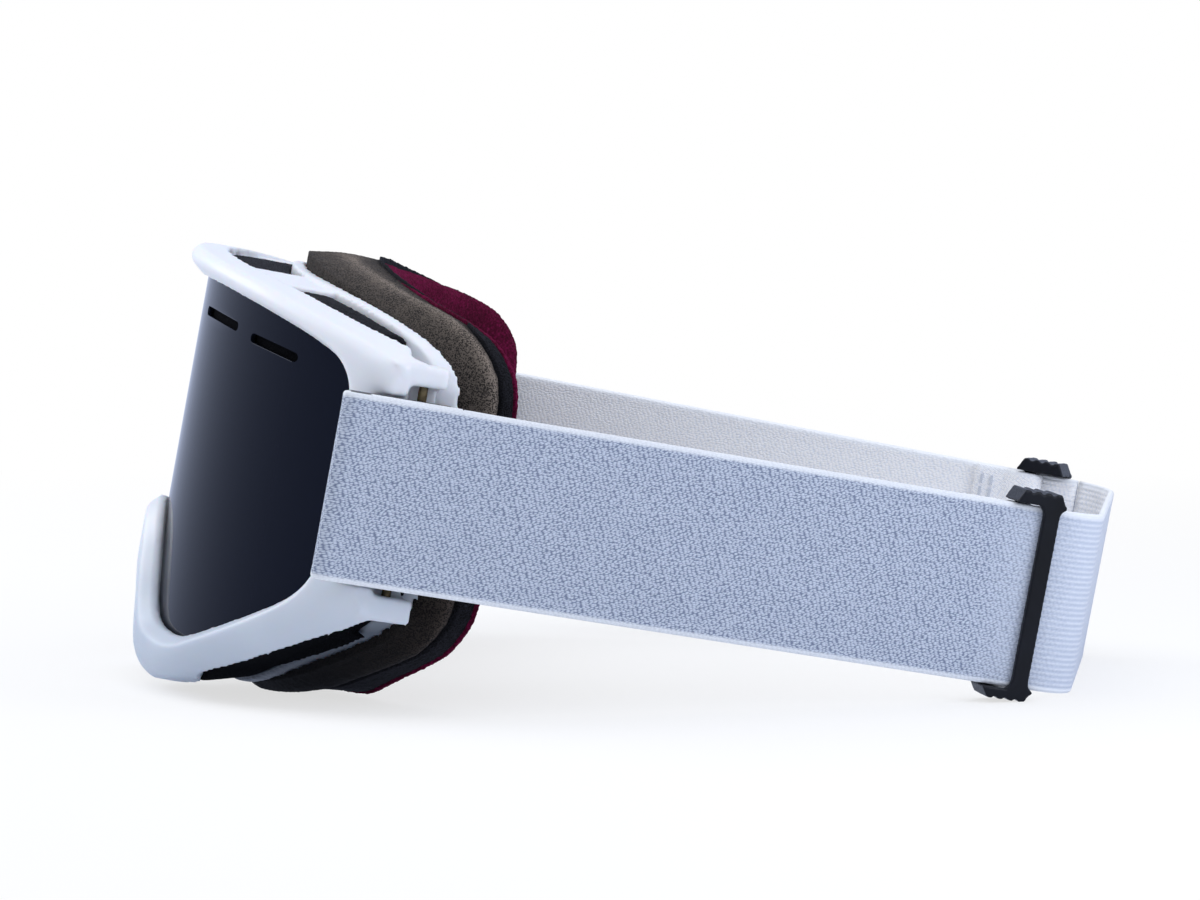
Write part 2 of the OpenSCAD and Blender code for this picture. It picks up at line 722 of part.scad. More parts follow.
front_frame();
rear_frame();
lens_outer();
lens_inner();
lens_gasket();
lens_vent_foam();
vent_foam_top();
vent_foam_bottom();
face_foam_firm();
face_foam_soft();
fleece_lining();
clip_pin(1);  // clip_pin_left
clip_pin(-1);  // clip_pin_right
strap_clip(1);  // strap_clip_left
strap_clip(-1);  // strap_clip_right
strap_fold(1);  // strap_fold_left
strap_fold(-1);  // strap_fold_right
strap_outer(1);  // strap_outer_left
strap_outer(-1);  // strap_outer_right
strap_inner(1);  // strap_inner_left
strap_inner(-1);  // strap_inner_right
strap_rear();
slider(1);  // slider_left
slider(-1);  // slider_right
strap_stitches(1);  // strap_stitches_left
strap_stitches(-1);  // strap_stitches_right
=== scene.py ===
import bmesh
import bpy
import json
import math
import numpy as np
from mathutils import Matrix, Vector
from mathutils.geometry import delaunay_2d_cdt


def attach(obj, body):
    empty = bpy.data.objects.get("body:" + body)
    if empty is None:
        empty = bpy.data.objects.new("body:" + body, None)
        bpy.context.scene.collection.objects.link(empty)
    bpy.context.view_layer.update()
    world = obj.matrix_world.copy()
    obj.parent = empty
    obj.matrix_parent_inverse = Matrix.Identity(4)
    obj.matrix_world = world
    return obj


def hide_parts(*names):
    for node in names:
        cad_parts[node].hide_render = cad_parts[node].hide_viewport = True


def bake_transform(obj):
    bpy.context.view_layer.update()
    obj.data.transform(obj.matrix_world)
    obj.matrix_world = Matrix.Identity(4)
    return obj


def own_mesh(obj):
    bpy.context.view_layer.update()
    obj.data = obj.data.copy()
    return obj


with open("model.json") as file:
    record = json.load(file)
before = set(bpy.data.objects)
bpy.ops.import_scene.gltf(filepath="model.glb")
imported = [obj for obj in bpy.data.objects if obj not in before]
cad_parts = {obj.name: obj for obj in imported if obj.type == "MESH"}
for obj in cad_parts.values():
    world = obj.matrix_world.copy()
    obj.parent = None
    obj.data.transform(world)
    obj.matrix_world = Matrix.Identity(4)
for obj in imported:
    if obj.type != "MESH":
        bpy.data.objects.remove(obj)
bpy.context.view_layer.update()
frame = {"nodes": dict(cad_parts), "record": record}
nodes = frame["nodes"]
print("frame loaded:", len(nodes), "nodes")

# The goggles were drawn upright and then leaned back on the table, so the shapes below are worked
# out upright, in millimetres, and put in place by stand().
stance = {
    "lean": math.radians(10.5),
    "middle": (-0.745465, 27.6413, -0.816),  # what becomes the origin once they stand
}


def leaned(x, y, z, way=1):
    # Turned about X by the lean: y cos + z sin and z cos - y sin, or back again where way is -1.
    c, s = math.cos(stance["lean"]), way * math.sin(stance["lean"])
    return np.stack([x, y * c + z * s, z * c - y * s], -1)


def stand(points):
    # From upright millimetres to metres on the table.
    points = np.asarray(points, float)
    return (leaned(*np.moveaxis(points, -1, 0)) - np.array(stance["middle"])) / 1000


def upright(points):
    # The way back from stand().
    return leaned(*(points * 1000 + np.array(stance["middle"])).T, way=-1)


def toLinear(text):
    # sRGB hex to linear: divide by 12.92 below 0.04045, else ((v + 0.055) / 1.055) ^ 2.4
    rgb = [int(text[i:i + 2], 16) / 255 for i in (1, 3, 5)]
    return tuple([v / 12.92 if v <= 0.04045 else ((v + 0.055) / 1.055) ** 2.4 for v in rgb] + [1.0])


def addNode(tree, kind, inputs=None, **settings):
    # inputs maps a socket to a value or to another socket; settings are the node's own properties.
    node = tree.nodes.new("ShaderNode" + kind)
    for name, value in settings.items():
        setattr(node, name, value)
    for name, value in (inputs or {}).items():
        socket = node.inputs[name]
        if isinstance(value, bpy.types.NodeSocket):
            tree.links.new(value, socket)
        else:
            socket.default_value = value
    return node


def newMaterial(name, base, shader, build):
    # build(tree, shaderNode) adds the pattern nodes and links them.
    material = bpy.data.materials.new(name)
    material.use_nodes = True
    tree = material.node_tree
    tree.nodes.clear()
    bsdf = addNode(tree, "BsdfPrincipled", {"Base Color": toLinear(base), **shader})
    addNode(tree, "OutputMaterial", {"Surface": bsdf.outputs["BSDF"]})
    build(tree, bsdf)
    material.diffuse_color = toLinear(base)
    return material


def ramp(tree, factor, stops):
    # stops is a list of (position, hex colour)
    node = addNode(tree, "ValToRGB", {"Fac": factor})
    elements = node.color_ramp.elements
    while len(elements) < len(stops):
        elements.new(0.5)
    for element, (position, colour) in zip(elements, stops):
        element.position = position
        element.color = toLinear(colour)
    return node.outputs["Color"]


def millimetres(tree, scale=(1, 1, 1)):
    # Object coordinates counted in millimetres.
    where = addNode(tree, "TexCoord")
    mapping = addNode(tree, "Mapping", {"Vector": where.outputs["Object"]})
    mapping.inputs["Scale"].default_value = [1000 * s for s in scale]
    return mapping.outputs["Vector"]


def drive(tree, bsdf, socket, value):
    tree.links.new(value, bsdf.inputs[socket])


def bump(tree, bsdf, height, distance, strength):
    # The distance is in metres.
    node = addNode(tree, "Bump", {"Height": height, "Distance": distance, "Strength": strength})
    drive(tree, bsdf, "Normal", node.outputs["Normal"])


def noise(tree, where, scale, detail=2.0, rough=0.5):
    node = addNode(tree, "TexNoise",
                   {"Vector": where, "Scale": scale, "Detail": detail, "Roughness": rough})
    return node.outputs["Fac"]


def mapRange(tree, value, fromMin, fromMax, toMin=0.0, toMax=1.0):
    ends = {"From Min": fromMin, "From Max": fromMax, "To Min": toMin, "To Max": toMax}
    return addNode(tree, "MapRange", {"Value": value, **ends}).outputs["Result"]


def maths(tree, operation, first, second=0.5):
    return addNode(tree, "Math", {0: first, 1: second}, operation=operation).outputs["Value"]


def weighted(tree, *parts):
    # The sum of each value times its weight.
    total = None
    for value, weight in parts:
        scaled = maths(tree, "MULTIPLY", value, weight)
        total = scaled if total is None else maths(tree, "ADD", total, scaled)
    return total


def heightIn(tree, where):
    return addNode(tree, "SeparateXYZ", {"Vector": where}).outputs["Z"]


def blendColour(tree, factor, first, second, mode="MIX"):
    node = addNode(tree, "Mix", {0: factor}, data_type="RGBA", blend_type=mode)
    for socket, value in ((node.inputs[6], first), (node.inputs[7], second)):
        if isinstance(value, bpy.types.NodeSocket):
            tree.links.new(value, socket)
        else:
            socket.default_value = toLinear(value)
    return node.outputs[2]


def mouldedTpu(stops):
    def build(tree, bsdf):
        # Soft polyurethane off a fine spark-eroded mould: an even satin skin with a grain under 0.5 mm,
        # a little greyer towards the lower edge as painted shade, where less light reaches.
        where = millimetres(tree)
        grain = noise(tree, where, 2.2, 3.0)
        cloud = noise(tree, where, 0.03)
        height = maths(tree, "ADD", heightIn(tree, where), mapRange(tree, cloud, 0.3, 0.7, -5.0, 5.0))
        drive(tree, bsdf, "Base Color", ramp(tree, mapRange(tree, height, 2.0, 46.0), stops))
        drive(tree, bsdf, "Roughness", mapRange(tree, grain, 0.35, 0.65, 0.34, 0.44))
        bump(tree, bsdf, grain, 0.00003, 0.35)
    return build


def openFoam(colours, paintedLight=False):
    def build(tree, bsdf):
        # Open cells about 0.5 mm wide, drawn as pits between lighter cell walls, with worn patches.
        # With paintedLight set, the foam gets a painted highlight along its crown and painted shade
        # lower down.
        where = millimetres(tree)
        cells = addNode(tree, "TexVoronoi", {"Vector": where, "Scale": 2.8}).outputs["Distance"]
        fine = noise(tree, where, 3.4, 2.0, 0.6)
        patch = maths(tree, "SUBTRACT", noise(tree, where, 0.18, 2.0), 0.5)
        mixed = weighted(tree, (cells, 0.45), (fine, 0.55), (patch, 0.18))
        colour = ramp(tree, mixed, [(0.3, colours[0]), (0.43, colours[1]), (0.56, colours[2])])
        if paintedLight:
            # Painted highlight along the crown, where the foam faces the light; both ends of the section
            # are darker as painted shade.
            depth = addNode(tree, "Attribute", attribute_name="depth").outputs["Fac"]
            crown = ramp(tree, depth, [(0.0, "#7c7c7c"), (0.34, "#a0a0a0"), (0.6, "#eeeeee"),
                                       (0.78, "#989898"), (1.0, "#646464")])
            # Painted shade: darker towards the table.
            low = ramp(tree, mapRange(tree, heightIn(tree, where), 4.0, 40.0),
                       [(0.0, "#2c2a2c"), (0.5, "#8c8888"), (1.0, "#f8f8f8")])
            colour = blendColour(tree, 1.0, colour, crown, "MULTIPLY")
            colour = blendColour(tree, 1.0, colour, low, "MULTIPLY")
        drive(tree, bsdf, "Base Color", colour)
        bump(tree, bsdf, maths(tree, "ADD", cells, fine), 0.00022, 0.8)
    return build


def napped(tree, bsdf):
    # Short burgundy pile: tufts under a millimetre, brushed one way, redder at the tips.
    where = millimetres(tree, (1.0, 0.55, 1.0))
    tuft = noise(tree, where, 1.7, 4.0, 0.65)
    patch = noise(tree, where, 0.12, 2.0)
    colour = ramp(tree, weighted(tree, (tuft, 0.7), (patch, 0.3)),
                  [(0.32, "#2a0413"), (0.5, "#4b0a26"), (0.68, "#751543")])
    drive(tree, bsdf, "Base Color", colour)
    bump(tree, bsdf, tuft, 0.0004, 0.9)


knit = {
    "stitch": (0.36, 0.9),  # width and length of one yarn float, mm
    "slant": -0.42,  # radians from the strap's length
    "selvage": 18.6,  # mm from the middle line
    "ribsFrom": (172.0, 196.0),  # the plain knit turns into ribs between these lengths
    "ribPitch": 1.15,
    "colours": ["#78839d", "#a9b4c9", "#cbd3e2"],
    "ribColours": ["#bcc6d9", "#c9d1e1", "#d8deea"],
    "paintedBacklightColours": ["#e6ebf5", "#fdfdff"],
    "edgeColour": "#eef2f9",
}


def knittedElastic(tree, bsdf):
    # The weave attribute holds length, width and depth in mm; the depth is above 0 on the outer face.
    # Yarn floats are stretched cells on a slant, the selvages are whiter, partly from their denser knit
    # and partly as a painted highlight, the inner face is nearly white as painted light shining through
    # the strap, and the back of the strap has ribs along its length.
    weave = addNode(tree, "Attribute", attribute_name="weave").outputs["Vector"]
    split = addNode(tree, "SeparateXYZ", {"Vector": weave})
    length, across, depth = split.outputs["X"], split.outputs["Y"], split.outputs["Z"]
    turned = addNode(tree, "VectorRotate", {"Vector": weave, "Angle": knit["slant"]},
                     rotation_type="Z_AXIS")
    scale = (1 / knit["stitch"][1], 1 / knit["stitch"][0], 1.0)
    cellsAt = addNode(tree, "VectorMath", {0: turned.outputs["Vector"], 1: scale}, operation="MULTIPLY")
    cellsAt = {"Vector": cellsAt.outputs["Vector"], "Scale": 1.0, "Randomness": 0.55}
    floats = addNode(tree, "TexVoronoi", cellsAt, voronoi_dimensions="2D")
    yarn = maths(tree, "SUBTRACT", 1.0, floats.outputs["Distance"])
    tone = addNode(tree, "SeparateXYZ", {"Vector": floats.outputs["Color"]}).outputs["X"]
    lively = noise(tree, weave, 0.25, 2.0)
    mixed = weighted(tree, (yarn, 0.85), (tone, 0.1), (lively, 0.05))
    front = ramp(tree, mixed, list(zip((0.42, 0.56, 0.76), knit["colours"])))
    wave = maths(tree, "SINE", maths(tree, "MULTIPLY", across, 2 * math.pi / knit["ribPitch"]), 0.0)
    rib = mapRange(tree, weighted(tree, (wave, 1.0), (tone, 0.5)), -1.0, 1.5)
    back = ramp(tree, rib, list(zip((0.0, 0.5, 1.0), knit["ribColours"])))
    toBack = mapRange(tree, length, *knit["ribsFrom"])
    colour = blendColour(tree, toBack, front, back)
    # Painted light: the inner face is lifted to near white, as if light shone through the strap.
    inside = mapRange(tree, depth, -0.3, 0.3, 1.0, 0.0)
    lining = ramp(tree, mixed, list(zip((0.3, 0.7), knit["paintedBacklightColours"])))
    colour = blendColour(tree, inside, colour, lining)
    # The whiter selvage is partly the denser knit of the edges and partly a painted highlight along
    # them.
    edge = mapRange(tree, maths(tree, "ABSOLUTE", across, 0.0),
                    knit["selvage"], knit["selvage"] + 0.6, 0.0, 0.85)
    colour = blendColour(tree, edge, colour, knit["edgeColour"])
    drive(tree, bsdf, "Base Color", colour)
    height = addNode(tree, "Mix", {0: toBack, 2: yarn, 3: rib}).outputs[0]
    bump(tree, bsdf, height, 0.00025, 0.75)


def mouldedAcetal(tree, bsdf):
    where = millimetres(tree)
    grain = noise(tree, where, 3.0, 3.0)
    cloud = noise(tree, where, 0.15)
    drive(tree, bsdf, "Base Color", ramp(tree, cloud, [(0.3, "#07080c"), (0.7, "#0e1017")]))
    drive(tree, bsdf, "Roughness", mapRange(tree, grain, 0.35, 0.65, 0.3, 0.46))
    bump(tree, bsdf, grain, 0.00003, 0.4)


def drawnWire(tree, bsdf):
    # Drawing marks along the pin and a little tarnish.
    marks = noise(tree, millimetres(tree, (4.0, 4.0, 0.25)), 1.0, 3.0)
    tarnish = noise(tree, millimetres(tree), 0.5)
    drive(tree, bsdf, "Base Color", ramp(tree, tarnish, [(0.3, "#3d3526"), (0.7, "#75664a")]))
    drive(tree, bsdf, "Roughness", mapRange(tree, marks, 0.3, 0.7, 0.25, 0.45))


def polished(low, high):
    def build(tree, bsdf):
        # Wiping haze changes only how sharp the reflections are.
        haze = noise(tree, millimetres(tree), 0.08, 3.0)
        drive(tree, bsdf, "Roughness", mapRange(tree, haze, 0.35, 0.65, low, high))
    return build


def spunThread(tree, bsdf):
    twist = addNode(tree, "TexWave", {"Vector": millimetres(tree), "Scale": 1.4, "Distortion": 0.6},
                    bands_direction="DIAGONAL").outputs["Fac"]
    drive(tree, bsdf, "Base Color", ramp(tree, twist, [(0.0, "#b4bccb"), (1.0, "#e4e8f0")]))
    bump(tree, bsdf, twist, 0.0001, 0.6)


softSkin = {"IOR": 1.5, "Subsurface Weight": 0.2, "Subsurface Scale": 0.0015}
foamy = {"Roughness": 0.95, "IOR": 1.3}
materials = {
    # The frame's colour ramp over height darkens its lower part as painted shade.
    "frame_tpu": newMaterial("satin moulded polyurethane", "#e6eaee", softSkin, mouldedTpu(
        [(0.0, "#b2bdcb"), (0.35, "#c3ccd9"), (0.75, "#dde2ea"), (1.0, "#ebeef4")])),
    "smoke_lens": newMaterial("polished smoke polycarbonate", "#0c0f18", {
        "IOR": 1.6, "Specular IOR Level": 0.1, "Specular Tint": toLinear("#ccd6ff")},
        polished(0.03, 0.07)),
    "clear_lens": newMaterial("anti-fog inner sheet", "#1d2026", {
        "IOR": 1.5, "Specular IOR Level": 0.3}, polished(0.1, 0.16)),
    "black_foam": newMaterial("black open-cell foam", "#121318", foamy, openFoam(
        ["#020203", "#08080b", "#1b1b21"])),
    "brown_foam": newMaterial("brown grey open-cell foam", "#3c3a38", foamy, openFoam(
        ["#1f1c1a", "#4b4541", "#968a80"], True)),
    "fleece": newMaterial("burgundy micro fleece", "#4a0d2c", {
        "Roughness": 1.0, "IOR": 1.2, "Sheen Weight": 0.35, "Sheen Roughness": 0.4,
        "Sheen Tint": toLinear("#a01458")}, napped),
    "pin_metal": newMaterial("drawn brass wire", "#8a7650", {"Metallic": 1.0}, drawnWire),
    "strap_elastic": newMaterial("knitted white elastic", "#a9b5cd", {
        "Roughness": 0.9, "IOR": 1.4, "Sheen Weight": 0.15}, knittedElastic),
    "black_plastic": newMaterial("moulded black acetal", "#0b0d12", {
        "IOR": 1.48, "Specular IOR Level": 0.22}, mouldedAcetal),
    "thread": newMaterial("polyester thread", "#d6dae2", {"Roughness": 0.7, "IOR": 1.45}, spunThread),
}

for entry in frame["record"]["subparts"]:
    mesh = nodes[entry["node"]].data
    mesh.materials.clear()
    mesh.materials.append(materials[entry["material_slot"]])
# The face plate is thinner and stands against black foam; its lower half gets painted shade, a much
# greyer colour low down.
paintedShadeTpu = newMaterial("moulded polyurethane with painted shade", "#a9b3c0", softSkin, mouldedTpu(
    [(0.0, "#333940"), (0.38, "#4f5762"), (0.66, "#cfd6e0"), (1.0, "#eaedf3")]))
# A darker copy of the black foam, as painted shade for foam behind the lens slots and in the lower
# vents.
paintedShadeFoam = newMaterial("black foam darkened as painted shade", "#050506", {
    "Roughness": 1.0, "IOR": 1.1}, openFoam(["#020203", "#060608", "#0e0f12"]))
print("materials:", len(materials))


def newObject(name, mesh, material):
    obj = bpy.data.objects.new(name, mesh)
    bpy.context.scene.collection.objects.link(obj)
    mesh.materials.clear()
    mesh.materials.append(material)
    mesh.shade_smooth()
    return obj


def readPoints(mesh):
    co = np.zeros(len(mesh.vertices) * 3, np.float32)
    mesh.vertices.foreach_get("co", co)
    return co.reshape(-1, 3).astype(float)


def writePoints(mesh, points):
    mesh.vertices.foreach_set("co", points.astype(np.float32).ravel())
    mesh.update()


def pointOutwards(mesh):
    form = bmesh.new()
    form.from_mesh(mesh)
    bmesh.ops.remove_doubles(form, verts=form.verts, dist=1e-6)
    bmesh.ops.recalc_face_normals(form, faces=form.faces)
    form.to_mesh(mesh)
    form.free()


def tubeMesh(name, grid, closed):
    # grid is rings by section points by 3. Every ring joins the next, and closed joins the last
    # to the first.
    rings, count = grid.shape[:2]
    i = np.arange(rings if closed else rings - 1)[:, None]
    j = np.arange(count)[None, :]
    a, b = i * count + j, i * count + (j + 1) % count
    c, d = (i + 1) % rings * count + (j + 1) % count, (i + 1) % rings * count + j
    faces = np.stack([a, b, c, d], -1).reshape(-1, 4).tolist()
    if not closed:
        faces += [list(range(count))[::-1], list(range((rings - 1) * count, rings * count))]
    mesh = bpy.data.meshes.new(name)
    mesh.from_pydata(grid.reshape(-1, 3).tolist(), [], faces)
    return mesh


def baked(obj):
    # The mesh that the object's modifiers give, in place of the object.
    view = bpy.context.evaluated_depsgraph_get()
    mesh = bpy.data.meshes.new_from_object(obj.evaluated_get(view))
    name, material = obj.name, obj.data.materials[0]
    old = obj.data
    bpy.data.objects.remove(obj)
    bpy.data.meshes.remove(old)
    mesh.name = name
    return newObject(name, mesh, material)


def moulded(name, sources, values, material):
    # The sources merged into one skin of small even faces, whose edges are then rounded by smoothing.
    # Where the values give lumps, they roughen it.
    form = bmesh.new()
    for mesh in sources:
        form.from_mesh(mesh)
    bmesh.ops.remove_doubles(form, verts=form.verts, dist=1e-6)
    mesh = bpy.data.meshes.new(name)
    form.to_mesh(mesh)
    form.free()
    obj = newObject(name, mesh, material)
    remesh = obj.modifiers.new("skin", "REMESH")
    remesh.mode = "VOXEL"
    remesh.voxel_size = values["voxel"] / 1000
    if values["smoothing"]:
        smooth = obj.modifiers.new("round", "SMOOTH")
        smooth.factor, smooth.iterations = 0.5, values["smoothing"]
    if "lumps" in values:
        roughen(obj, *values["lumps"])
    return baked(obj)


def roughen(obj, size, depth):
    # A cloud of lumps of that size and depth, in millimetres.
    texture = bpy.data.textures.new(obj.name + " grain", "CLOUDS")
    texture.noise_scale = size / 1000
    texture.noise_depth = 2
    displace = obj.modifiers.new("grain", "DISPLACE")
    displace.texture = texture
    displace.texture_coords = "LOCAL"
    displace.strength = depth / 1000
    displace.mid_level = 0.5


def finished(obj, body, node):
    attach(obj, body)
    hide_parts(node)
    return obj


def bothHalves(half):
    # The outlines below are half outlines seen from the front, X and Z, from the brow to the nose.
    return np.array(half + [[-x, z] for x, z in half[-2:0:-1]], float)


def smoothLoop(points, steps):
    # Each span is a cubic that leaves a point along the line between its neighbours.
    a, b, c, d = (np.roll(points, k, 0)[:, None] for k in (1, 0, -1, -2))
    t = (np.arange(steps) / steps)[None, :, None]
    bend, twist = 2 * a - 5 * b + 4 * c - d, 3 * b - a - 3 * c + d
    return 0.5 * (2 * b + (c - a) * t + bend * t ** 2 + twist * t ** 3).reshape(-1, 2)


def outwardOf(loop):
    along = np.roll(loop, -1, 0) - np.roll(loop, 1, 0)
    along /= np.linalg.norm(along, axis=1, keepdims=True)
    return np.stack([-along[:, 1], along[:, 0]], -1)


outlines = {
    "steps": 12,
    "rim": [[0, 82.8], [19, 82.4], [38, 81.2], [56, 79], [66, 76.6], [75, 73.7], [81, 71],
            [85, 68], [86.5, 60], [87, 42], [86.5, 24], [84, 15.5], [76, 7.0], [64, -1.6], [50, -8.0],
            [38, -11.2], [28, -12.6], [20.8, -11.6], [15.8, -7.2], [12, -0.6], [7.8, 6.8], [0, 11]],
    "window": [[0, 77.2], [19, 77], [38, 76.3], [53, 74.5], [64, 72.1], [70.6, 69.8],
               [75.4, 66.8], [77.7, 61.6], [78.3, 51], [78.4, 36], [77.6, 23.6], [74, 15.8], [66, 9],
               [56, 3.2], [47, -0.4], [38, -0.8], [30, 0.6], [24.6, 4.4], [20.2, 11.2], [15, 18.6],
               [8, 23.4], [0, 24.6]],
    "plate": [[0, 82.8], [19, 82], [37, 81], [51, 79.4], [61, 77.4], [69, 74.4], [74, 70.6],
              [76.4, 65], [77, 52], [77, 36], [76, 22], [73, 13.6], [66, 6.4], [53, -1.8], [41, -7.4],
              [30, -9.9], [22.5, -8.8], [16.5, -2.8], [12, 5.2], [7, 11.6], [0, 14]],
}
rimLoop, windowLoop, plateLoop = (smoothLoop(bothHalves(outlines[k]), outlines["steps"])
                                  for k in ("rim", "window", "plate"))

frontFrame = {
    "lensAxis": 9.5,  # Y of the lens cylinder's axis
    "topRadius": 97.6,
    "edgeRadius": 95.0,  # where the rim meets the window's edge
    "footRadius": 93.3,  # the foot of the window's wall
    "slope": 3.1,  # width of the slope from the rim's top down to the window
    "corner": (2.4, 2.2),  # width and drop of the round outer edge
    "lobe": (9.0, 3.6),  # what the two lower lobes add to them
    "lobeCentre": (24.0, 16.0),  # X and half width of a lobe
    "lobeTop": (15.0, 3.0),  # the lobes' extra rounding grows between these heights
    "lip": (3.2, 1.9),  # what the thin edge over the lower vents adds to them
    "lipSides": (40, 56),  # it begins between these X
    "lipHeights": (11, 19),  # and ends between these heights
    "coverRadius": (89.4, 87.7, 93.4),  # the skin's back edge: brow, lobes, lower vents
    "lobeHeights": (17, 20),  # where the brow's back edge takes over from the lobes'
    "ventHeights": (13.5, 15),  # and from the lower vents'
    "turnIn": (0.6, 1.3),  # how far the skin turns in at the window's foot and its back edge
    "cheekToe": 17.0,  # the cheek's plane turns in by this many degrees
    "cheekPin": (79.6, -30.5),
    "cheekFace": (3.0, 0.3),  # how far out of the pin the skin may come: cheek, strap channel
    "channel": (21.0, 63.0),
    "cheekFrom": (74, 13),  # the cheeks begin at this X and height
    "cheekFront": -34.2,
    "skin": 0.14,  # the skin stands this far outside the CAD rim
    "pressFrom": 90.5,  # what lies further out than this radius is pressed under the skin
    "pressGap": 0.12,
    "voxel": 0.58,
    "smoothing": 5,
}
core = {"voxel": 0.55, "smoothing": 0}
rearFrame = {"voxel": 0.6, "smoothing": 1}


def distanceTo(flat, loop):
    # Shortest distance from each point to the loop's straight pieces.
    a, d = loop, np.roll(loop, -1, 0) - loop
    best = np.full(len(flat), 1e9)
    batch = 4000  # points at a time, to spare memory
    for first in range(0, len(flat), batch):
        p = flat[first:first + batch, None]
        t = np.clip(((p - a) * d).sum(-1) / (d ** 2).sum(-1), 0, 1)
        best[first:first + batch] = np.linalg.norm(p - a - t[..., None] * d, axis=-1).min(1)
    return best


def smoothStep(value, low, high):
    # From 0 to 1 as 3 t^2 - 2 t^3.
    t = np.clip((value - low) / (high - low), 0, 1)
    return t * t * (3 - 2 * t)


def frontRadius(flat):
    # Distance of the rim's front skin from the lens axis: a soft slope beside the window and
    # a quarter ellipse at the outer edge, which is much larger on the two lower lobes.
    v = frontFrame
    fromWindow, fromRim = distanceTo(flat, windowLoop), distanceTo(flat, rimLoop)
    t = np.clip(fromWindow / v["slope"], 0, 1)
    sloped = v["edgeRadius"] + (v["topRadius"] - v["edgeRadius"]) * np.sin(t * math.pi / 2) ** 1.1
    lobe = np.exp(-((np.abs(flat[:, 0]) - v["lobeCentre"][0]) / v["lobeCentre"][1]) ** 2)
    lobe *= smoothStep(flat[:, 1], *v["lobeTop"])
    lip = smoothStep(np.abs(flat[:, 0]), *v["lipSides"]) * (1 - smoothStep(flat[:, 1], *v["lipHeights"]))
    wide, deep = (v["corner"][k] + v["lobe"][k] * lobe + v["lip"][k] * lip for k in (0, 1))
    k = np.clip(1 - fromRim / wide, 0, 1)
    return sloped - deep * (1 - np.sqrt(1 - k ** 2))


def cylinderFront(axis, radius, x):
    # y = axis - sqrt(radius^2 - x^2)
    return axis - np.sqrt(radius ** 2 - x ** 2)


def rimSkin():
    # Each section runs up the window's wall, over the front and down the rim's outer wall.
    v = frontFrame
    inner = windowLoop - v["skin"] * outwardOf(windowLoop)
    outer = rimLoop + v["skin"] * outwardOf(rimLoop)
    share = 0.5 - 0.5 * np.cos(np.linspace(0, math.pi, 25))
    flat = inner[:, None] + share[None, :, None] * (outer - inner)[:, None]
    radius = frontRadius(flat.reshape(-1, 2)).reshape(flat.shape[:2])
    side, height = np.abs(rimLoop[:, :1]), rimLoop[:, 1:]
    lowPart = 1 - smoothStep(height, *v["lobeHeights"])
    ventPart = smoothStep(side, *v["lipSides"]) * (1 - smoothStep(height, *v["ventHeights"]))
    brow, lobes, vents = v["coverRadius"]
    low = brow + (lobes - brow) * lowPart * (1 - ventPart) + (vents - brow) * ventPart
    foot = 0 * low + v["footRadius"]
    wall = np.linspace(0, 1, 5)[1:-1]
    innerWall = foot + (radius[:, :1] - foot) * wall
    outerWall = low + (radius[:, -1:] - low) * wall[::-1]
    first = flat[:, :1] + v["turnIn"][0] * outwardOf(windowLoop)[:, None]
    last = flat[:, -1:] - v["turnIn"][1] * outwardOf(rimLoop)[:, None]
    flat = np.concatenate([first, flat[:, :1].repeat(4, 1), flat, flat[:, -1:].repeat(4, 1), last], 1)
    radius = np.concatenate([foot, foot, innerWall, radius, outerWall, low, low], 1)
    x, z = np.abs(flat[..., 0]), flat[..., 1]
    y = cylinderFront(v["lensAxis"], radius, x)
    # At the cheeks the skin stays behind the planes that the strap and its clip lie on.
    turn = math.radians(v["cheekToe"])
    high = z > v["cheekFrom"][1]
    y = np.where((x > v["cheekFrom"][0]) & high, np.minimum(y, v["cheekFront"]), y)
    out = (x - v["cheekPin"][0]) * math.cos(turn) + (y - v["cheekPin"][1]) * math.sin(turn)
    inChannel = (z > v["channel"][0]) & (z < v["channel"][1])
    over = np.maximum(out - np.where(inChannel, v["cheekFace"][1], v["cheekFace"][0]), 0) * high
    x, y = x - over * math.cos(turn), y - over * math.sin(turn)
    mesh = tubeMesh("rim skin", stand(np.stack([np.sign(flat[..., 0]) * x, y, z], -1)), True)
    pointOutwards(mesh)
    return mesh


def pressUnder(mesh):
    # Moves the front of a mesh back along Y until it lies under the rim's skin.
    v = frontFrame
    points = upright(readPoints(mesh))
    radius = np.hypot(points[:, 0], points[:, 1] - v["lensAxis"])
    near = (radius > v["pressFrom"]) & (points[:, 1] < 0)
    allowed = np.full(len(points), 1e9)
    allowed[near] = frontRadius(points[near][:, [0, 2]]) - v["pressGap"]
    deep = near & (radius > allowed)
    points[deep, 1] = v["lensAxis"] - np.sqrt(np.maximum(allowed[deep] ** 2 - points[deep, 0] ** 2, 1))
    writePoints(mesh, stand(points))


# The front frame and its rounded rim become one skin.
tpu = materials["frame_tpu"]
inside = moulded("front frame core", [nodes["front_frame"].data], core, tpu)
pressUnder(inside.data)
sources = [inside.data, rimSkin()]
front = finished(moulded("front_frame_moulded", sources, frontFrame, tpu), "goggles", "front_frame")
bpy.data.objects.remove(inside)
for mesh in sources:
    bpy.data.meshes.remove(mesh)
rear = moulded("rear_frame_moulded", [nodes["rear_frame"].data], rearFrame, paintedShadeTpu)
finished(rear, "goggles", "rear_frame")
print("frames:", len(front.data.polygons), len(rear.data.polygons), "faces")

lens = {
    "axis": frontFrame["lensAxis"], "radius": 93, "thickness": 1.2,
    "cover": 1.55,  # how far the sheet runs under the rim
    "grid": 2.5, "margin": 1.2,  # spacing of the flat pattern's points, and their room to its edge
    "slotWidth": 2.0,
    "slots": [[[21, 69.3], [41.8, 68.2]], [[49.8, 66.8], [62.6, 65.1]]],
    "slotRoom": (1.06, 1.9),  # the points also stay out of slots made this much longer and wider
    "edge": 0.15,  # radius of the rounded edges
    "sharp": math.radians(30),
    "faceLimit": 0.85,  # a face turned further than this from the cylinder's normal is an edge
}


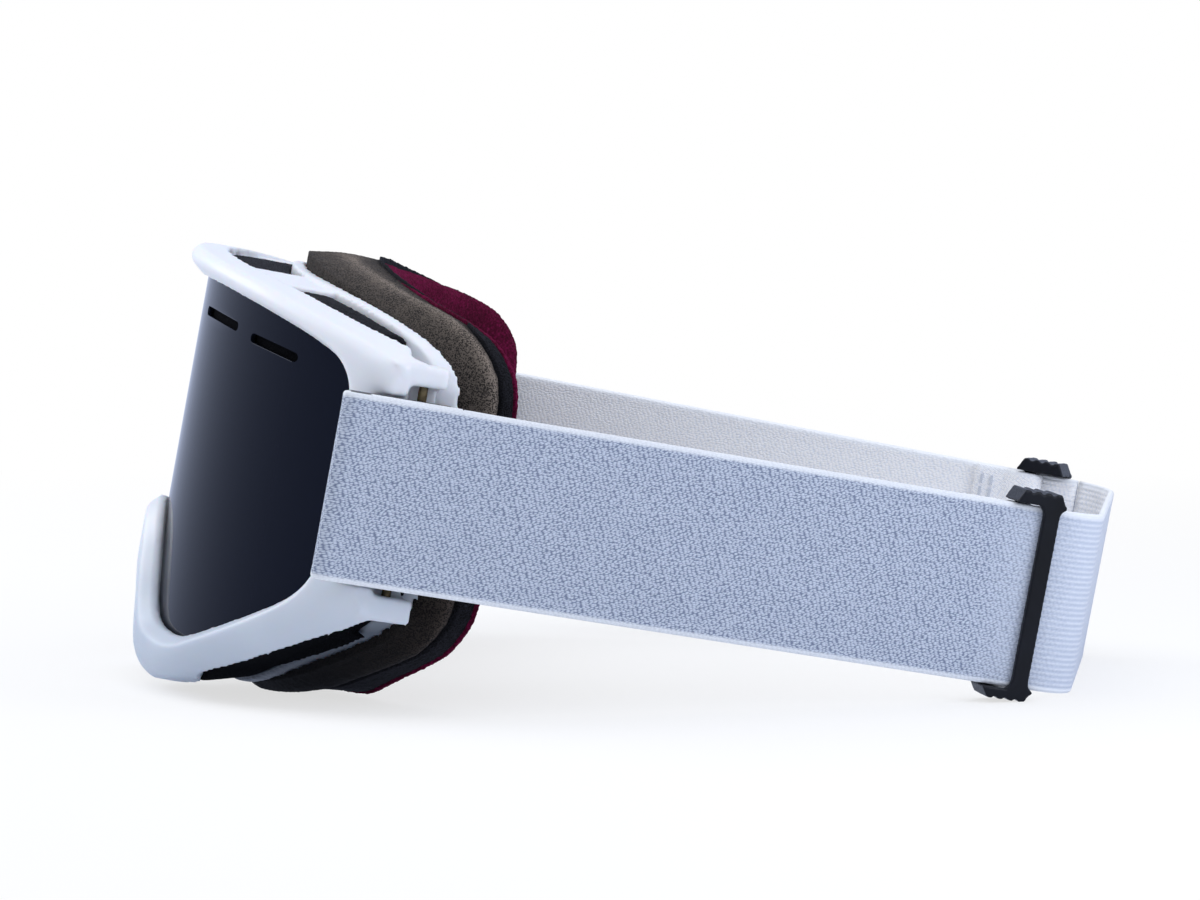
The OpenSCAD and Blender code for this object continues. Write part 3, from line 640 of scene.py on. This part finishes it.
def isInside(points, loop):
    # Even-odd rule over all points and all edges at once.
    p, a, b = points[:, None], loop[None], np.roll(loop, -1, 0)[None]
    crossing = (a[..., 1] > p[..., 1]) != (b[..., 1] > p[..., 1])
    rise = np.where(b[..., 1] == a[..., 1], 1e-9, b[..., 1] - a[..., 1])
    x = a[..., 0] + (p[..., 1] - a[..., 1]) / rise * (b[..., 0] - a[..., 0])
    return (crossing & (p[..., 0] < x)).sum(1) % 2 == 1


def slotLoop(ends, width):
    # Half circles round the slot's two ends.
    ends = np.array(ends, float)
    turn = math.atan2(*(ends[1] - ends[0])[::-1]) + np.linspace(math.pi / 2, 1.5 * math.pi, 12)
    halves = zip(ends, (turn, turn - math.pi))
    return np.concatenate([end + width / 2 * np.stack([np.cos(a), np.sin(a)], -1) for end, a in halves])


def bentSheet(name, outer, holes, values, material):
    # A flat pattern with holes, bent round the lens's axis: y = axis - sqrt(radius^2 - x^2).
    step = values["grid"]
    x, z = np.meshgrid(np.arange(-82, 82, step), np.arange(-4, 82, step))
    inner = np.stack([x.ravel(), z.ravel()], -1)
    inner = inner[isInside(inner, outer - values["margin"] * outwardOf(outer))]
    for hole in holes:
        centre = hole.mean(0)
        inner = inner[~isInside(inner, centre + (hole - centre) * values["slotRoom"])]
    loops = [outer] + holes
    points = np.concatenate(loops + [inner])
    edges, first = [], 0
    for loop in loops:
        k = np.arange(len(loop))
        edges += (first + np.stack([k, (k + 1) % len(loop)], -1)).tolist()
        first += len(loop)
    found = delaunay_2d_cdt([Vector(p) for p in points], edges, [], 0, 1e-5)
    flat = np.array([tuple(v) for v in found[0]])
    faces = np.array([tuple(f) for f in found[2]])
    middle = flat[faces].mean(1)
    keep = isInside(middle, outer)
    for hole in holes:
        keep &= ~isInside(middle, hole)
    y = cylinderFront(values["axis"], values["radius"], flat[:, 0])
    mesh = bpy.data.meshes.new(name)
    mesh.from_pydata(stand(np.stack([flat[:, 0], y, flat[:, 1]], -1)).tolist(), [], faces[keep].tolist())
    mesh.validate()
    obj = newObject(name, mesh, material)
    wall = obj.modifiers.new("wall", "SOLIDIFY")
    wall.thickness = values["thickness"] / 1000
    wall.offset = -1 if mesh.polygons[0].normal.y < 0 else 1
    bevel = obj.modifiers.new("edge", "BEVEL")
    bevel.width, bevel.segments, bevel.angle_limit = values["edge"] / 1000, 2, math.radians(50)
    return baked(obj)


lensEdge = windowLoop + lens["cover"] * outwardOf(windowLoop)
slots = [slotLoop(ends, lens["slotWidth"]) for ends in lens["slots"]]
slots += [loop * [-1, 1] for loop in slots]
shield = bentSheet("lens_shield", lensEdge[::2], slots, lens, materials["smoke_lens"])
finished(shield, "goggles", "lens_outer")


def roundNormals(mesh):
    # Both faces of the bent sheet get the cylinder's own normals, (x, y - axis, 0) / radius, leaned.
    mesh.set_sharp_from_angle(angle=lens["sharp"])
    points = upright(readPoints(mesh))
    radial = leaned(points[:, 0], points[:, 1] - lens["axis"], 0 * points[:, 0])
    radial /= np.linalg.norm(radial, axis=1, keepdims=True)
    faceNormal = np.zeros(len(mesh.polygons) * 3, np.float32)
    mesh.polygons.foreach_get("normal", faceNormal)
    total = np.zeros(len(mesh.polygons), np.int32)
    mesh.polygons.foreach_get("loop_total", total)
    corner = np.zeros(len(mesh.loops), np.int32)
    mesh.loops.foreach_get("vertex_index", corner)
    facing = np.repeat(faceNormal.reshape(-1, 3), total, 0)
    along = (facing * radial[corner]).sum(1)[:, None]
    normals = np.where(np.abs(along) > lens["faceLimit"], np.sign(along) * radial[corner], 0)
    mesh.normals_split_custom_set(normals.tolist())


roundNormals(shield.data)
print("lens shield made")

foam = {
    "inset": 5.5, "plateAxis": 30.7, "plateRadius": 93,
    "lean": 0.3,  # the sides lean in
    "lift": 0.1, "liftHeights": (0, 30),  # the middle of the lower foam rises a little
    "drop": 0.16, "dropSides": (38, 50),  # its ends fall
    "spread": 1.8, "spreadSides": (36, 54), "spreadHeights": (10, 26),  # and stand further out
    "browSides": (20, 60), "browHeights": (60, 75),
    "flare": (0.05, 0.26), "flareSides": (50, 72),  # the brow foam rises, more at its corners
    "browRise": 3.2,  # its middle stands higher on the face plate
    "browFlat": 0.75,  # and its crown is this share lower
    "firmBrow": 7.0, "firmSides": (61, 73), "firmHeights": (50, 62),  # its firm layer is thicker
    "narrowSides": (25, 48), "narrowHeights": (55, 70),  # its lining is narrower here
    "sideInset": 0.9, "insetSides": (70, 76),  # the temples lie this much further in
    "sideThinning": 3.0, "thinSides": (48, 70),  # the soft layer is this much thinner there
    "firm": 9.0, "soft": 7.4,
    "bulge": 0.6,  # each layer's outer face is crowned by this much
    "floor": 0.1,  # nothing lies lower than this over the table
}
layers = {
    # width, where it starts, how thick it is, and the lumps (size, depth), all in mm.
    # rounding (a, b) narrows the section by sqrt(1 - (a t)^b), and brow holds the shares of the
    # brow's extra firm foam that its start and its thickness take.
    "face_foam_firm": {"width": 10, "base": 0.12, "thick": 9.0, "crown": 2.2, "rounding": (0.0, 2),
                       "brow": (0, 1), "browNarrower": 0, "lumps": (1.1, 0.4), "slot": "brown_foam"},
    "face_foam_soft": {"width": 11.6, "base": 9.2, "thick": 7.4, "crown": 0.0, "rounding": (0.72, 4),
                       "brow": (1, -1), "browNarrower": 0, "lumps": (1.0, 0.45), "slot": "black_foam"},
    "fleece_lining": {"width": 11.6, "base": 15.7, "thick": 2.8, "crown": 0.0, "rounding": (0.8, 2),
                      "brow": (0, 0), "browNarrower": 0.2, "lumps": (0.6, 0.5), "slot": "fleece"},
}


def rising(value, low, high):
    # From 0 to 1 in a straight line.
    return np.clip((value - low) / (high - low), 0, 1)


def foamRing(name, values):
    # Each point of the path carries a section: half width = rounding * width / 2 + crown sin(pi t)^1.4,
    # set back from the face plate along a direction that leans in at the sides and rises at the brow.
    v = foam
    normal = outwardOf(plateLoop)
    side, height = np.abs(plateLoop[:, :1]), plateLoop[:, 1:]
    brow = (1 - rising(side, *v["browSides"])) * rising(height, *v["browHeights"])
    spread = v["spread"] * rising(side, *v["spreadSides"]) * (1 - rising(height, *v["spreadHeights"]))
    spread = spread + v["browRise"] * brow - v["sideInset"] * rising(side, *v["insetSides"])
    path = plateLoop - (v["inset"] - spread) * normal
    t = np.linspace(0, 1, 15)
    lid = np.linspace(-1, 1, 9)[1:-1]
    a, b = values["rounding"]
    plain = 0.5 * np.sqrt(np.clip(1 - (a * t) ** b, 0, 1)) * values["width"]
    curved = np.sin(math.pi * t) ** 1.4
    across = np.concatenate([plain, lid[::-1] * plain[-1], -plain[::-1], lid * plain[0]])[None]
    narrow = rising(height, *v["narrowHeights"]) * (1 - rising(side, *v["narrowSides"]))
    across = across * (1 - values["browNarrower"] * narrow)
    crown = values["crown"] * (1 - v["browFlat"] * brow)
    across = across + crown * np.concatenate([curved, 0 * lid, -curved[::-1], 0 * lid])[None]
    px, pz = path[:, :1], path[:, 1:]
    out, inwards = np.abs(px), px / v["plateRadius"]
    extra = v["firmBrow"] * rising(pz, *v["firmHeights"]) * (1 - rising(out, *v["firmSides"]))
    share = np.concatenate([t, 1 + 0 * lid, t[::-1], 0 * lid])[None]
    bulge = np.concatenate([0 * t, v["bulge"] * (1 - lid ** 2), 0 * t, 0 * lid])[None]
    deep = values["base"] + values["brow"][0] * extra
    deep = deep + (values["thick"] + values["brow"][1] * extra) * share + bulge
    soft = rising(deep, v["firm"], v["firm"] + v["soft"])
    deep = deep - v["sideThinning"] * rising(out, *v["thinSides"]) * soft
    x = px + across * normal[:, :1]
    z = pz + across * normal[:, 1:]
    y = cylinderFront(v["plateAxis"], v["plateRadius"], x)
    up = (1 - rising(pz, *v["liftHeights"])) * (v["lift"] - v["drop"] * rising(out, *v["dropSides"]))
    flare = v["flare"][0] + (v["flare"][1] - v["flare"][0]) * rising(out, *v["flareSides"])
    up = up + flare * rising(pz, *v["browHeights"])
    back = np.concatenate([-v["lean"] * inwards, np.sqrt(1 - inwards ** 2), up], 1)
    back /= np.linalg.norm(back, axis=1, keepdims=True)
    mesh = tubeMesh(name, stand(np.stack([x, y, z], -1) + deep[..., None] * back[:, None]), True)
    depth = mesh.attributes.new("depth", "FLOAT", "POINT")
    depth.data.foreach_set("value", (share + 0 * px).reshape(-1).astype(np.float32))
    pointOutwards(mesh)
    pad = newObject(name + "_pad", mesh, materials[values["slot"]])
    fine = pad.modifiers.new("fine", "SUBSURF")
    fine.subdivision_type = "SIMPLE"
    fine.levels = fine.render_levels = 1
    roughen(pad, *values["lumps"])
    pad = baked(pad)
    points = readPoints(pad.data)
    points[:, 2] = np.maximum(points[:, 2], v["floor"] / 1000)
    writePoints(pad.data, points)
    return pad


for name, values in layers.items():
    finished(foamRing(name, values), "goggles", name)

lensFoam = {"voxel": 0.7, "smoothing": 1, "lumps": (1.0, 0.3)}
for name, finish in (("lens_vent_foam", paintedShadeFoam), ("lens_gasket", materials["black_foam"])):
    pad = moulded(name + "_pad", [nodes[name].data], lensFoam, finish)
    finished(pad, "goggles", name)

ventFoam = {
    "spans": [(-70.0, -47.4), (-28.6, 28.6), (47.4, 70.0)],
    "below": 1.5,  # the brow foam's top lies this far under the rim's upper edge
    "deep": 9.0,
    "front": 91.3, "back": 96.2,
    "lowerSpan": (37.0, 77.0),
    "lowerPart": (27, 20),  # what lies further out and lower than this is the outlines' lower part
    "runOut": (43, 73.5),  # both ends run out inside the frame from here
    "runOutRise": (3.0, 2.5),
    "above": (-0.3, 1.5),  # the lower foam against the rim's lower edge, at the lobes and further out
    "lowerDeep": 8.0,
    "lowerFront": (88.6, 92.3), "lowerBack": 95.6,
    "lap": 0.4,  # the lower foam's back edge lies this far over the face plate's edge
    "power": 0.3,  # how square the sections are
    "brow": {"voxel": 0.6, "smoothing": 1, "lumps": (1.0, 0.4)},
    "lower": {"voxel": 0.6, "smoothing": 2, "lumps": (1.0, 0.15)},
}


def strip(x, low, high, front, back, climb=0.0):
    # For each x a rounded box between two heights and two depths, which climbs from front to back.
    # The section is a superellipse: sign(cos) |cos|^power across and the same of sin upwards.
    a = np.linspace(0, 2 * math.pi, 48, endpoint=False)
    across, upward = (np.sign(f) * np.abs(f) ** ventFoam["power"] for f in (np.cos(a), np.sin(a)))
    y = (front + back)[:, None] / 2 + (back - front)[:, None] / 2 * across
    z = (low + high)[:, None] / 2 + (high - low)[:, None] / 2 * upward
    z = z + np.reshape(climb, (-1, 1)) * (0.5 + 0.5 * across)
    mesh = tubeMesh("vent strip", stand(np.stack([x[:, None] + 0 * y, y, z], -1)), False)
    pointOutwards(mesh)
    return mesh


def heightOf(loop, part, x):
    # Height of a part of an outline over each x.
    part = loop[part]
    part = part[np.argsort(part[:, 0])]
    return np.interp(x, part[:, 0], part[:, 1])


def browStrip(span, v):
    x = np.linspace(span[0], span[1], max(8, int((span[1] - span[0]) / 0.7)))
    top = heightOf(rimLoop, rimLoop[:, 1] > 60, x) - v["below"]
    front = cylinderFront(frontFrame["lensAxis"], v["front"], x)
    return strip(x, top - v["deep"], top, front, cylinderFront(foam["plateAxis"], v["back"], x))


def lowerStrip(side, v):
    x = np.linspace(*v["lowerSpan"], 60)
    a, b = v["lowerPart"]
    rim, plate = (heightOf(p, (p[:, 0] > a) & (p[:, 1] < b), x) for p in (rimLoop, plateLoop))
    out = smoothStep(x, *frontFrame["lipSides"])
    low = rim + v["above"][0] + (v["above"][1] - v["above"][0]) * out
    low = low + v["runOutRise"][0] * (1 - smoothStep(x, v["lowerSpan"][0], v["runOut"][0]))
    low = low + v["runOutRise"][1] * smoothStep(x, v["runOut"][1], v["lowerSpan"][1])
    radius = v["lowerFront"][0] + (v["lowerFront"][1] - v["lowerFront"][0]) * out
    front = cylinderFront(frontFrame["lensAxis"], radius, x)
    back = cylinderFront(foam["plateAxis"], v["lowerBack"], x)
    return strip(side * x, low, low + v["lowerDeep"], front, back, np.maximum(plate + v["lap"] - low, 0))


pads = [browStrip(span, ventFoam) for span in ventFoam["spans"]]
pad = moulded("vent_foam_top_pad", pads, ventFoam["brow"], materials["black_foam"])
finished(pad, "goggles", "vent_foam_top")
lowerPads = [lowerStrip(side, ventFoam) for side in (1, -1)]
sources = [nodes["vent_foam_bottom"].data] + lowerPads
pad = moulded("vent_foam_bottom_pad", sources, ventFoam["lower"], paintedShadeFoam)
finished(pad, "goggles", "vent_foam_bottom")
for mesh in pads + lowerPads:
    bpy.data.meshes.remove(mesh)
print("foam made")

strap = {
    "width": 40, "thickness": 1.4, "middle": 42, "pin": (79.6, -30.5),
    "selvage": (0.12, 1.2, 0.8),  # thicker by this share, this far from the edge, over this width
    "thinner": 0.05,  # and elsewhere thinner by this share
    "outer": 7.9, "inner": 6.1, "foldInner": 4.5,  # distances out from the pin
    "foldBar": -15.9, "foldEnd": 8, "turnEnd": 30,  # distances back along the strap
    "runOn": 8.0,  # the straight side goes on this far behind the slider
    "bend": 10,  # radius of the bends behind the head
    "rearClimb": 0.012,
    "step": 1.6,
    "innerWidth": 39.8, "innerThickness": 1.3,
    "innerFrom": (8.4, 10, 17),  # the inner layer starts behind the fold and comes out to its place
    "innerGap": 0.1, "sliderGap": 8, "travel": 99.0,
    "sewnFrom": 9.2, "sewnStep": 1.0,
    "barGap": 0.6, "loop": 1.75,  # the loop round the slider's hidden bar
    "tail": ((3.5, 2.4), (1.52, 6.4), (1.52, 14)),  # inwards and forward of the bar
    1: {"toe": 13.75, "rise": 0.0, "slider": 137.7, "side": "left"},
    -1: {"toe": 20.5, "rise": 0.7, "slider": 154.0, "side": "right"},
}


def sidePoint(side, n, s):
    # n outwards from the pin, s back along the strap, seen from above.
    a = math.radians(strap[side]["toe"])
    n, s = np.broadcast_arrays(np.asarray(n, float), np.asarray(s, float))
    return np.stack([side * (strap["pin"][0] + n * math.cos(a) - s * math.sin(a)),
                     strap["pin"][1] + n * math.sin(a) + s * math.cos(a)], -1)


def bandMesh(side, path, height, climb, width, thickness, lining=False):
    # path is seen from above, height is the middle line's Z and climb its slope.
    # The section is a flat loop with round edges, a little thicker along both selvages. Where lining
    # is set, both faces are finished as the inner one.
    more, fromEdge, spread = strap["selvage"]
    edge = 0.5 * thickness
    u = np.linspace(-1, 1, 41) * (width / 2 - edge)
    bead = more * np.exp(-((np.abs(u) - width / 2 + fromEdge) / spread) ** 2)
    thick = edge * (1 + bead - strap["thinner"])
    a = np.linspace(math.pi / 2, -math.pi / 2, 7)[1:-1]
    curve = width / 2 - edge + edge * np.cos(a)
    across = np.concatenate([u, curve, u[::-1], -curve])
    out = np.concatenate([thick, edge * np.sin(a), -thick[::-1], -edge * np.sin(a)])
    along = np.gradient(path, axis=0)
    along /= np.linalg.norm(along, axis=1, keepdims=True)
    normal = np.stack([along[:, 1], -along[:, 0]], -1)
    length = np.concatenate([[0], np.cumsum(np.linalg.norm(np.diff(path, axis=0), axis=1))])
    tilt = (across[None] * np.sin(climb)[:, None])[..., None]
    flat = path[:, None] + out[None, :, None] * normal[:, None] - tilt * along[:, None]
    z = height[:, None] + across[None] * np.cos(climb)[:, None]
    mesh = tubeMesh("strap band", stand(np.concatenate([flat, z[..., None]], -1)), False)
    weave = mesh.attributes.new("weave", "FLOAT_VECTOR", "POINT")
    depth = -1.0 if lining else side * out[None]
    where = np.stack(np.broadcast_arrays(length[:, None], across[None], depth + 0 * z), -1)
    weave.data.foreach_set("vector", where.reshape(-1).astype(np.float32))
    pointOutwards(mesh)
    return mesh


def resampled(points, step):
    # Points every step millimetres along a line.
    points = np.asarray(points, float)
    run = np.concatenate([[0], np.cumsum(np.linalg.norm(np.diff(points, axis=0), axis=1))])
    t = np.linspace(0, run[-1], max(3, int(run[-1] / step)))
    return np.stack([np.interp(t, run, points[:, i]) for i in range(points.shape[1])], -1)


def foldPoints(side):
    # From under the outer layer forward, half round the clip's bar and back.
    middle = (strap["outer"] + strap["foldInner"]) / 2
    r = (strap["outer"] - strap["foldInner"]) / 2
    a = np.linspace(-math.pi, 0, 25)
    n = np.concatenate([[strap["foldInner"]], middle + r * np.cos(a)])
    s = np.concatenate([[strap["foldEnd"]], strap["foldBar"] + r * np.sin(a)])
    return np.stack([n, s], -1)


def outerBand(side, withRear):
    # The fold and the straight side, and for one side the bends and the part behind the head.
    v = strap[side]
    rise = math.radians(v["rise"])
    local = np.concatenate([foldPoints(side), [[strap["outer"], v["slider"] + strap["runOn"]]]])
    local = resampled(local, strap["step"])
    path = sidePoint(side, local[:, 0], local[:, 1])
    climb = np.full(len(path), rise)
    height = strap["middle"] + local[:, 1] * math.sin(rise)
    if withRear:
        ends = [strap[k]["slider"] + strap["runOn"] for k in (1, -1)]
        centres = [sidePoint(k, strap["outer"] - strap["bend"], e) for k, e in zip((1, -1), ends)]
        tilt = math.atan2(*(centres[1] - centres[0])[::-1] * [1, -1])
        a1 = np.linspace(math.radians(strap[1]["toe"]), math.pi / 2 - tilt, 20)[1:]
        a2 = np.linspace(math.pi / 2 - tilt, math.pi - math.radians(strap[-1]["toe"]), 20)
        arc = [c + strap["bend"] * np.stack([np.cos(a), np.sin(a)], -1)
               for c, a in zip(centres, (a1, a2))]
        bend = resampled(np.concatenate([path[-1:], arc[0], arc[1]]), strap["step"])[1:]
        top = strap["middle"] + ends[1] * math.sin(math.radians(strap[-1]["rise"]))
        share = np.clip((path[-1, 0] - bend[:, 0]) / (path[-1, 0] - bend[-1, 0]), 0, 1)
        height = np.concatenate([height, strap["middle"] + share * (top - strap["middle"])])
        climb = np.concatenate([climb, np.full(len(bend), strap["rearClimb"])])
        path = np.concatenate([path, bend])
    return bandMesh(side, path, height, climb, strap["width"], strap["thickness"])


def innerPiece(name, side, local, step, lining=False):
    # A length of the inner layer, through points out from the pin and back along the strap.
    rise = math.radians(strap[side]["rise"])
    local = resampled(local, step)
    path = sidePoint(side, local[:, 0], local[:, 1])
    height = strap["middle"] + local[:, 1] * math.sin(rise)
    mesh = bandMesh(side, path, height, np.full(len(path), rise), strap["innerWidth"],
                    strap["innerThickness"], lining)
    return newObject(name, mesh, elastic)


elastic = materials["strap_elastic"]
for side in (1, -1):
    where = strap[side]["side"]
    obj = newObject("strap_outer_band_" + where, outerBand(side, side > 0), elastic)
    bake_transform(obj)
    replaced = ["strap_fold_" + where, "strap_outer_" + where] + (["strap_rear"] if side > 0 else [])
    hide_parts(*replaced)
    # The inner layer: from behind the fold to just in front of the slider, where it is sewn round
    # the hidden bar.
    slider, n = strap[side]["slider"], strap["inner"]
    start, level, risen = strap["innerFrom"]
    stop = slider - strap["sliderGap"]
    inner = innerPiece("strap_inner_band_" + where, side, [
        [strap["foldInner"], start], [strap["foldInner"], level],
        [n - strap["innerGap"], risen], [n - strap["innerGap"], stop]], strap["step"])
    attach(inner, "goggles")
    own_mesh(inner)
    # The sewn end goes with the slider.
    r = strap["loop"]
    bar = slider - strap["barGap"] - r
    a = np.linspace(0, math.pi, 17)
    points = np.stack([n - r + r * np.cos(a), bar + r * np.sin(a)], -1)
    tail = [[n - inwards, bar - forward] for inwards, forward in strap["tail"]]
    sewn = np.concatenate([[[n, slider - strap["sewnFrom"]]], points, tail])
    sewn = innerPiece("strap_sewn_end_" + where, side, sewn, strap["sewnStep"], True)
    finished(sewn, "slider_" + where, "strap_inner_" + where)
print("strap made")

fittings = {"slider": {"voxel": 0.3, "smoothing": 2, "body": "slider_"},
            "strap_clip": {"voxel": 0.35, "smoothing": 1, "body": "clip_"}}
for where in ("left", "right"):
    for kind, values in fittings.items():
        node = kind + "_" + where
        obj = moulded(node + "_moulded", [nodes[node].data], values, materials["black_plastic"])
        finished(obj, values["body"] + where, node)
print("sliders and clips made")

cameraView = {
    "place": (1.1007, -0.02763, 0.1338),  # metres
    "aim": (-1.0, 90 / 4840, -365 / 4840),  # along -X, a little towards +Y and down, by pixels
    "lens": 145.2,
}
cameraData = bpy.data.cameras.new("camera")
cameraData.lens = cameraView["lens"]
cameraData.sensor_width = 36
cameraData.clip_start = 0.01


def aimed(name, data, place, direction):
    obj = bpy.data.objects.new(name, data)
    obj.location = place
    obj.rotation_euler = Vector(direction).to_track_quat("-Z", "Y").to_euler()
    bpy.context.scene.collection.objects.link(obj)
    return obj


bpy.context.scene.camera = aimed("camera", cameraData, cameraView["place"], cameraView["aim"])

studio = {
    "floorWidth": 60.0,
    "fade": (0.15, 0.6),  # metres from the goggles over which the floor turns pure white
    "glow": 0.68,  # its share of white near them
    "worldLevel": 0.5,
    "lamps": [  # name, place, aim, size in metres, watts, colour
        ("overhead", (0.1, -0.1, 1.1), (0, -0.02, 0), (1.2, 1.2), 6.0, "#ffffff"),
        ("behind the lens", (-0.35, -0.9, 0.6), (0, -0.1, 0.05), (0.7, 0.7), 5.0, "#ffffff"),
        ("camera side", (0.3, 0.35, 0.22), (0.03, 0.06, 0.04), (0.25, 0.25), 0.8, "#f0f4ff"),
    ],
}


def shownAsBackground(tree):
    # 1 for camera, glossy and transmitted rays, else 0.
    path = addNode(tree, "LightPath").outputs
    seen = maths(tree, "MAXIMUM", path["Is Camera Ray"], path["Is Glossy Ray"])
    return maths(tree, "MAXIMUM", seen, path["Is Transmission Ray"])


def backgroundColour(tree):
    # White where it is seen directly, a cooler white in reflections.
    direct = addNode(tree, "LightPath").outputs["Is Camera Ray"]
    return blendColour(tree, direct, "#d0dcfa", "#ffffff")


world = bpy.data.worlds.new("white studio")
bpy.context.scene.world = world
world.use_nodes = True
tree = world.node_tree
tree.nodes.clear()
dim = addNode(tree, "Background", {"Color": toLinear("#e8eefa"), "Strength": studio["worldLevel"]})
white = addNode(tree, "Background", {"Color": backgroundColour(tree), "Strength": 1.0})
mix = addNode(tree, "MixShader",
              {0: shownAsBackground(tree), 1: dim.outputs[0], 2: white.outputs[0]})
addNode(tree, "OutputWorld", {"Surface": mix.outputs[0]})

for name, place, aim, size, watts, colour in studio["lamps"]:
    lampData = bpy.data.lights.new(name, "AREA")
    lampData.shape = "RECTANGLE"
    lampData.size, lampData.size_y = size
    lampData.energy = watts
    lampData.color = toLinear(colour)[:3]
    lamp = aimed(name, lampData, place, Vector(aim) - Vector(place))
    lamp.visible_camera = False

half = studio["floorWidth"] / 2
floorMesh = bpy.data.meshes.new("floor")
corners = [(-half, -half, 0), (half, -half, 0), (half, half, 0), (-half, half, 0)]
floorMesh.from_pydata(corners, [], [(0, 1, 2, 3)])
floorMaterial = bpy.data.materials.new("white acrylic floor")
floorMaterial.use_nodes = True
tree = floorMaterial.node_tree
tree.nodes.clear()
lit = addNode(tree, "BsdfDiffuse", {"Color": toLinear("#f6f8fc")})
glow = addNode(tree, "Emission", {"Color": backgroundColour(tree), "Strength": 1.0})
where = addNode(tree, "TexCoord").outputs["Object"]
distance = addNode(tree, "VectorMath", {0: where}, operation="LENGTH").outputs["Value"]
fade = mapRange(tree, distance, *studio["fade"], studio["glow"], 1.0)
share = maths(tree, "MULTIPLY", shownAsBackground(tree), fade)
mix = addNode(tree, "MixShader", {0: share, 1: lit.outputs[0], 2: glow.outputs[0]})
addNode(tree, "OutputMaterial", {"Surface": mix.outputs[0]})
newObject("floor", floorMesh, floorMaterial)
bpy.context.scene.view_settings.view_transform = "Standard"
print("studio ready")
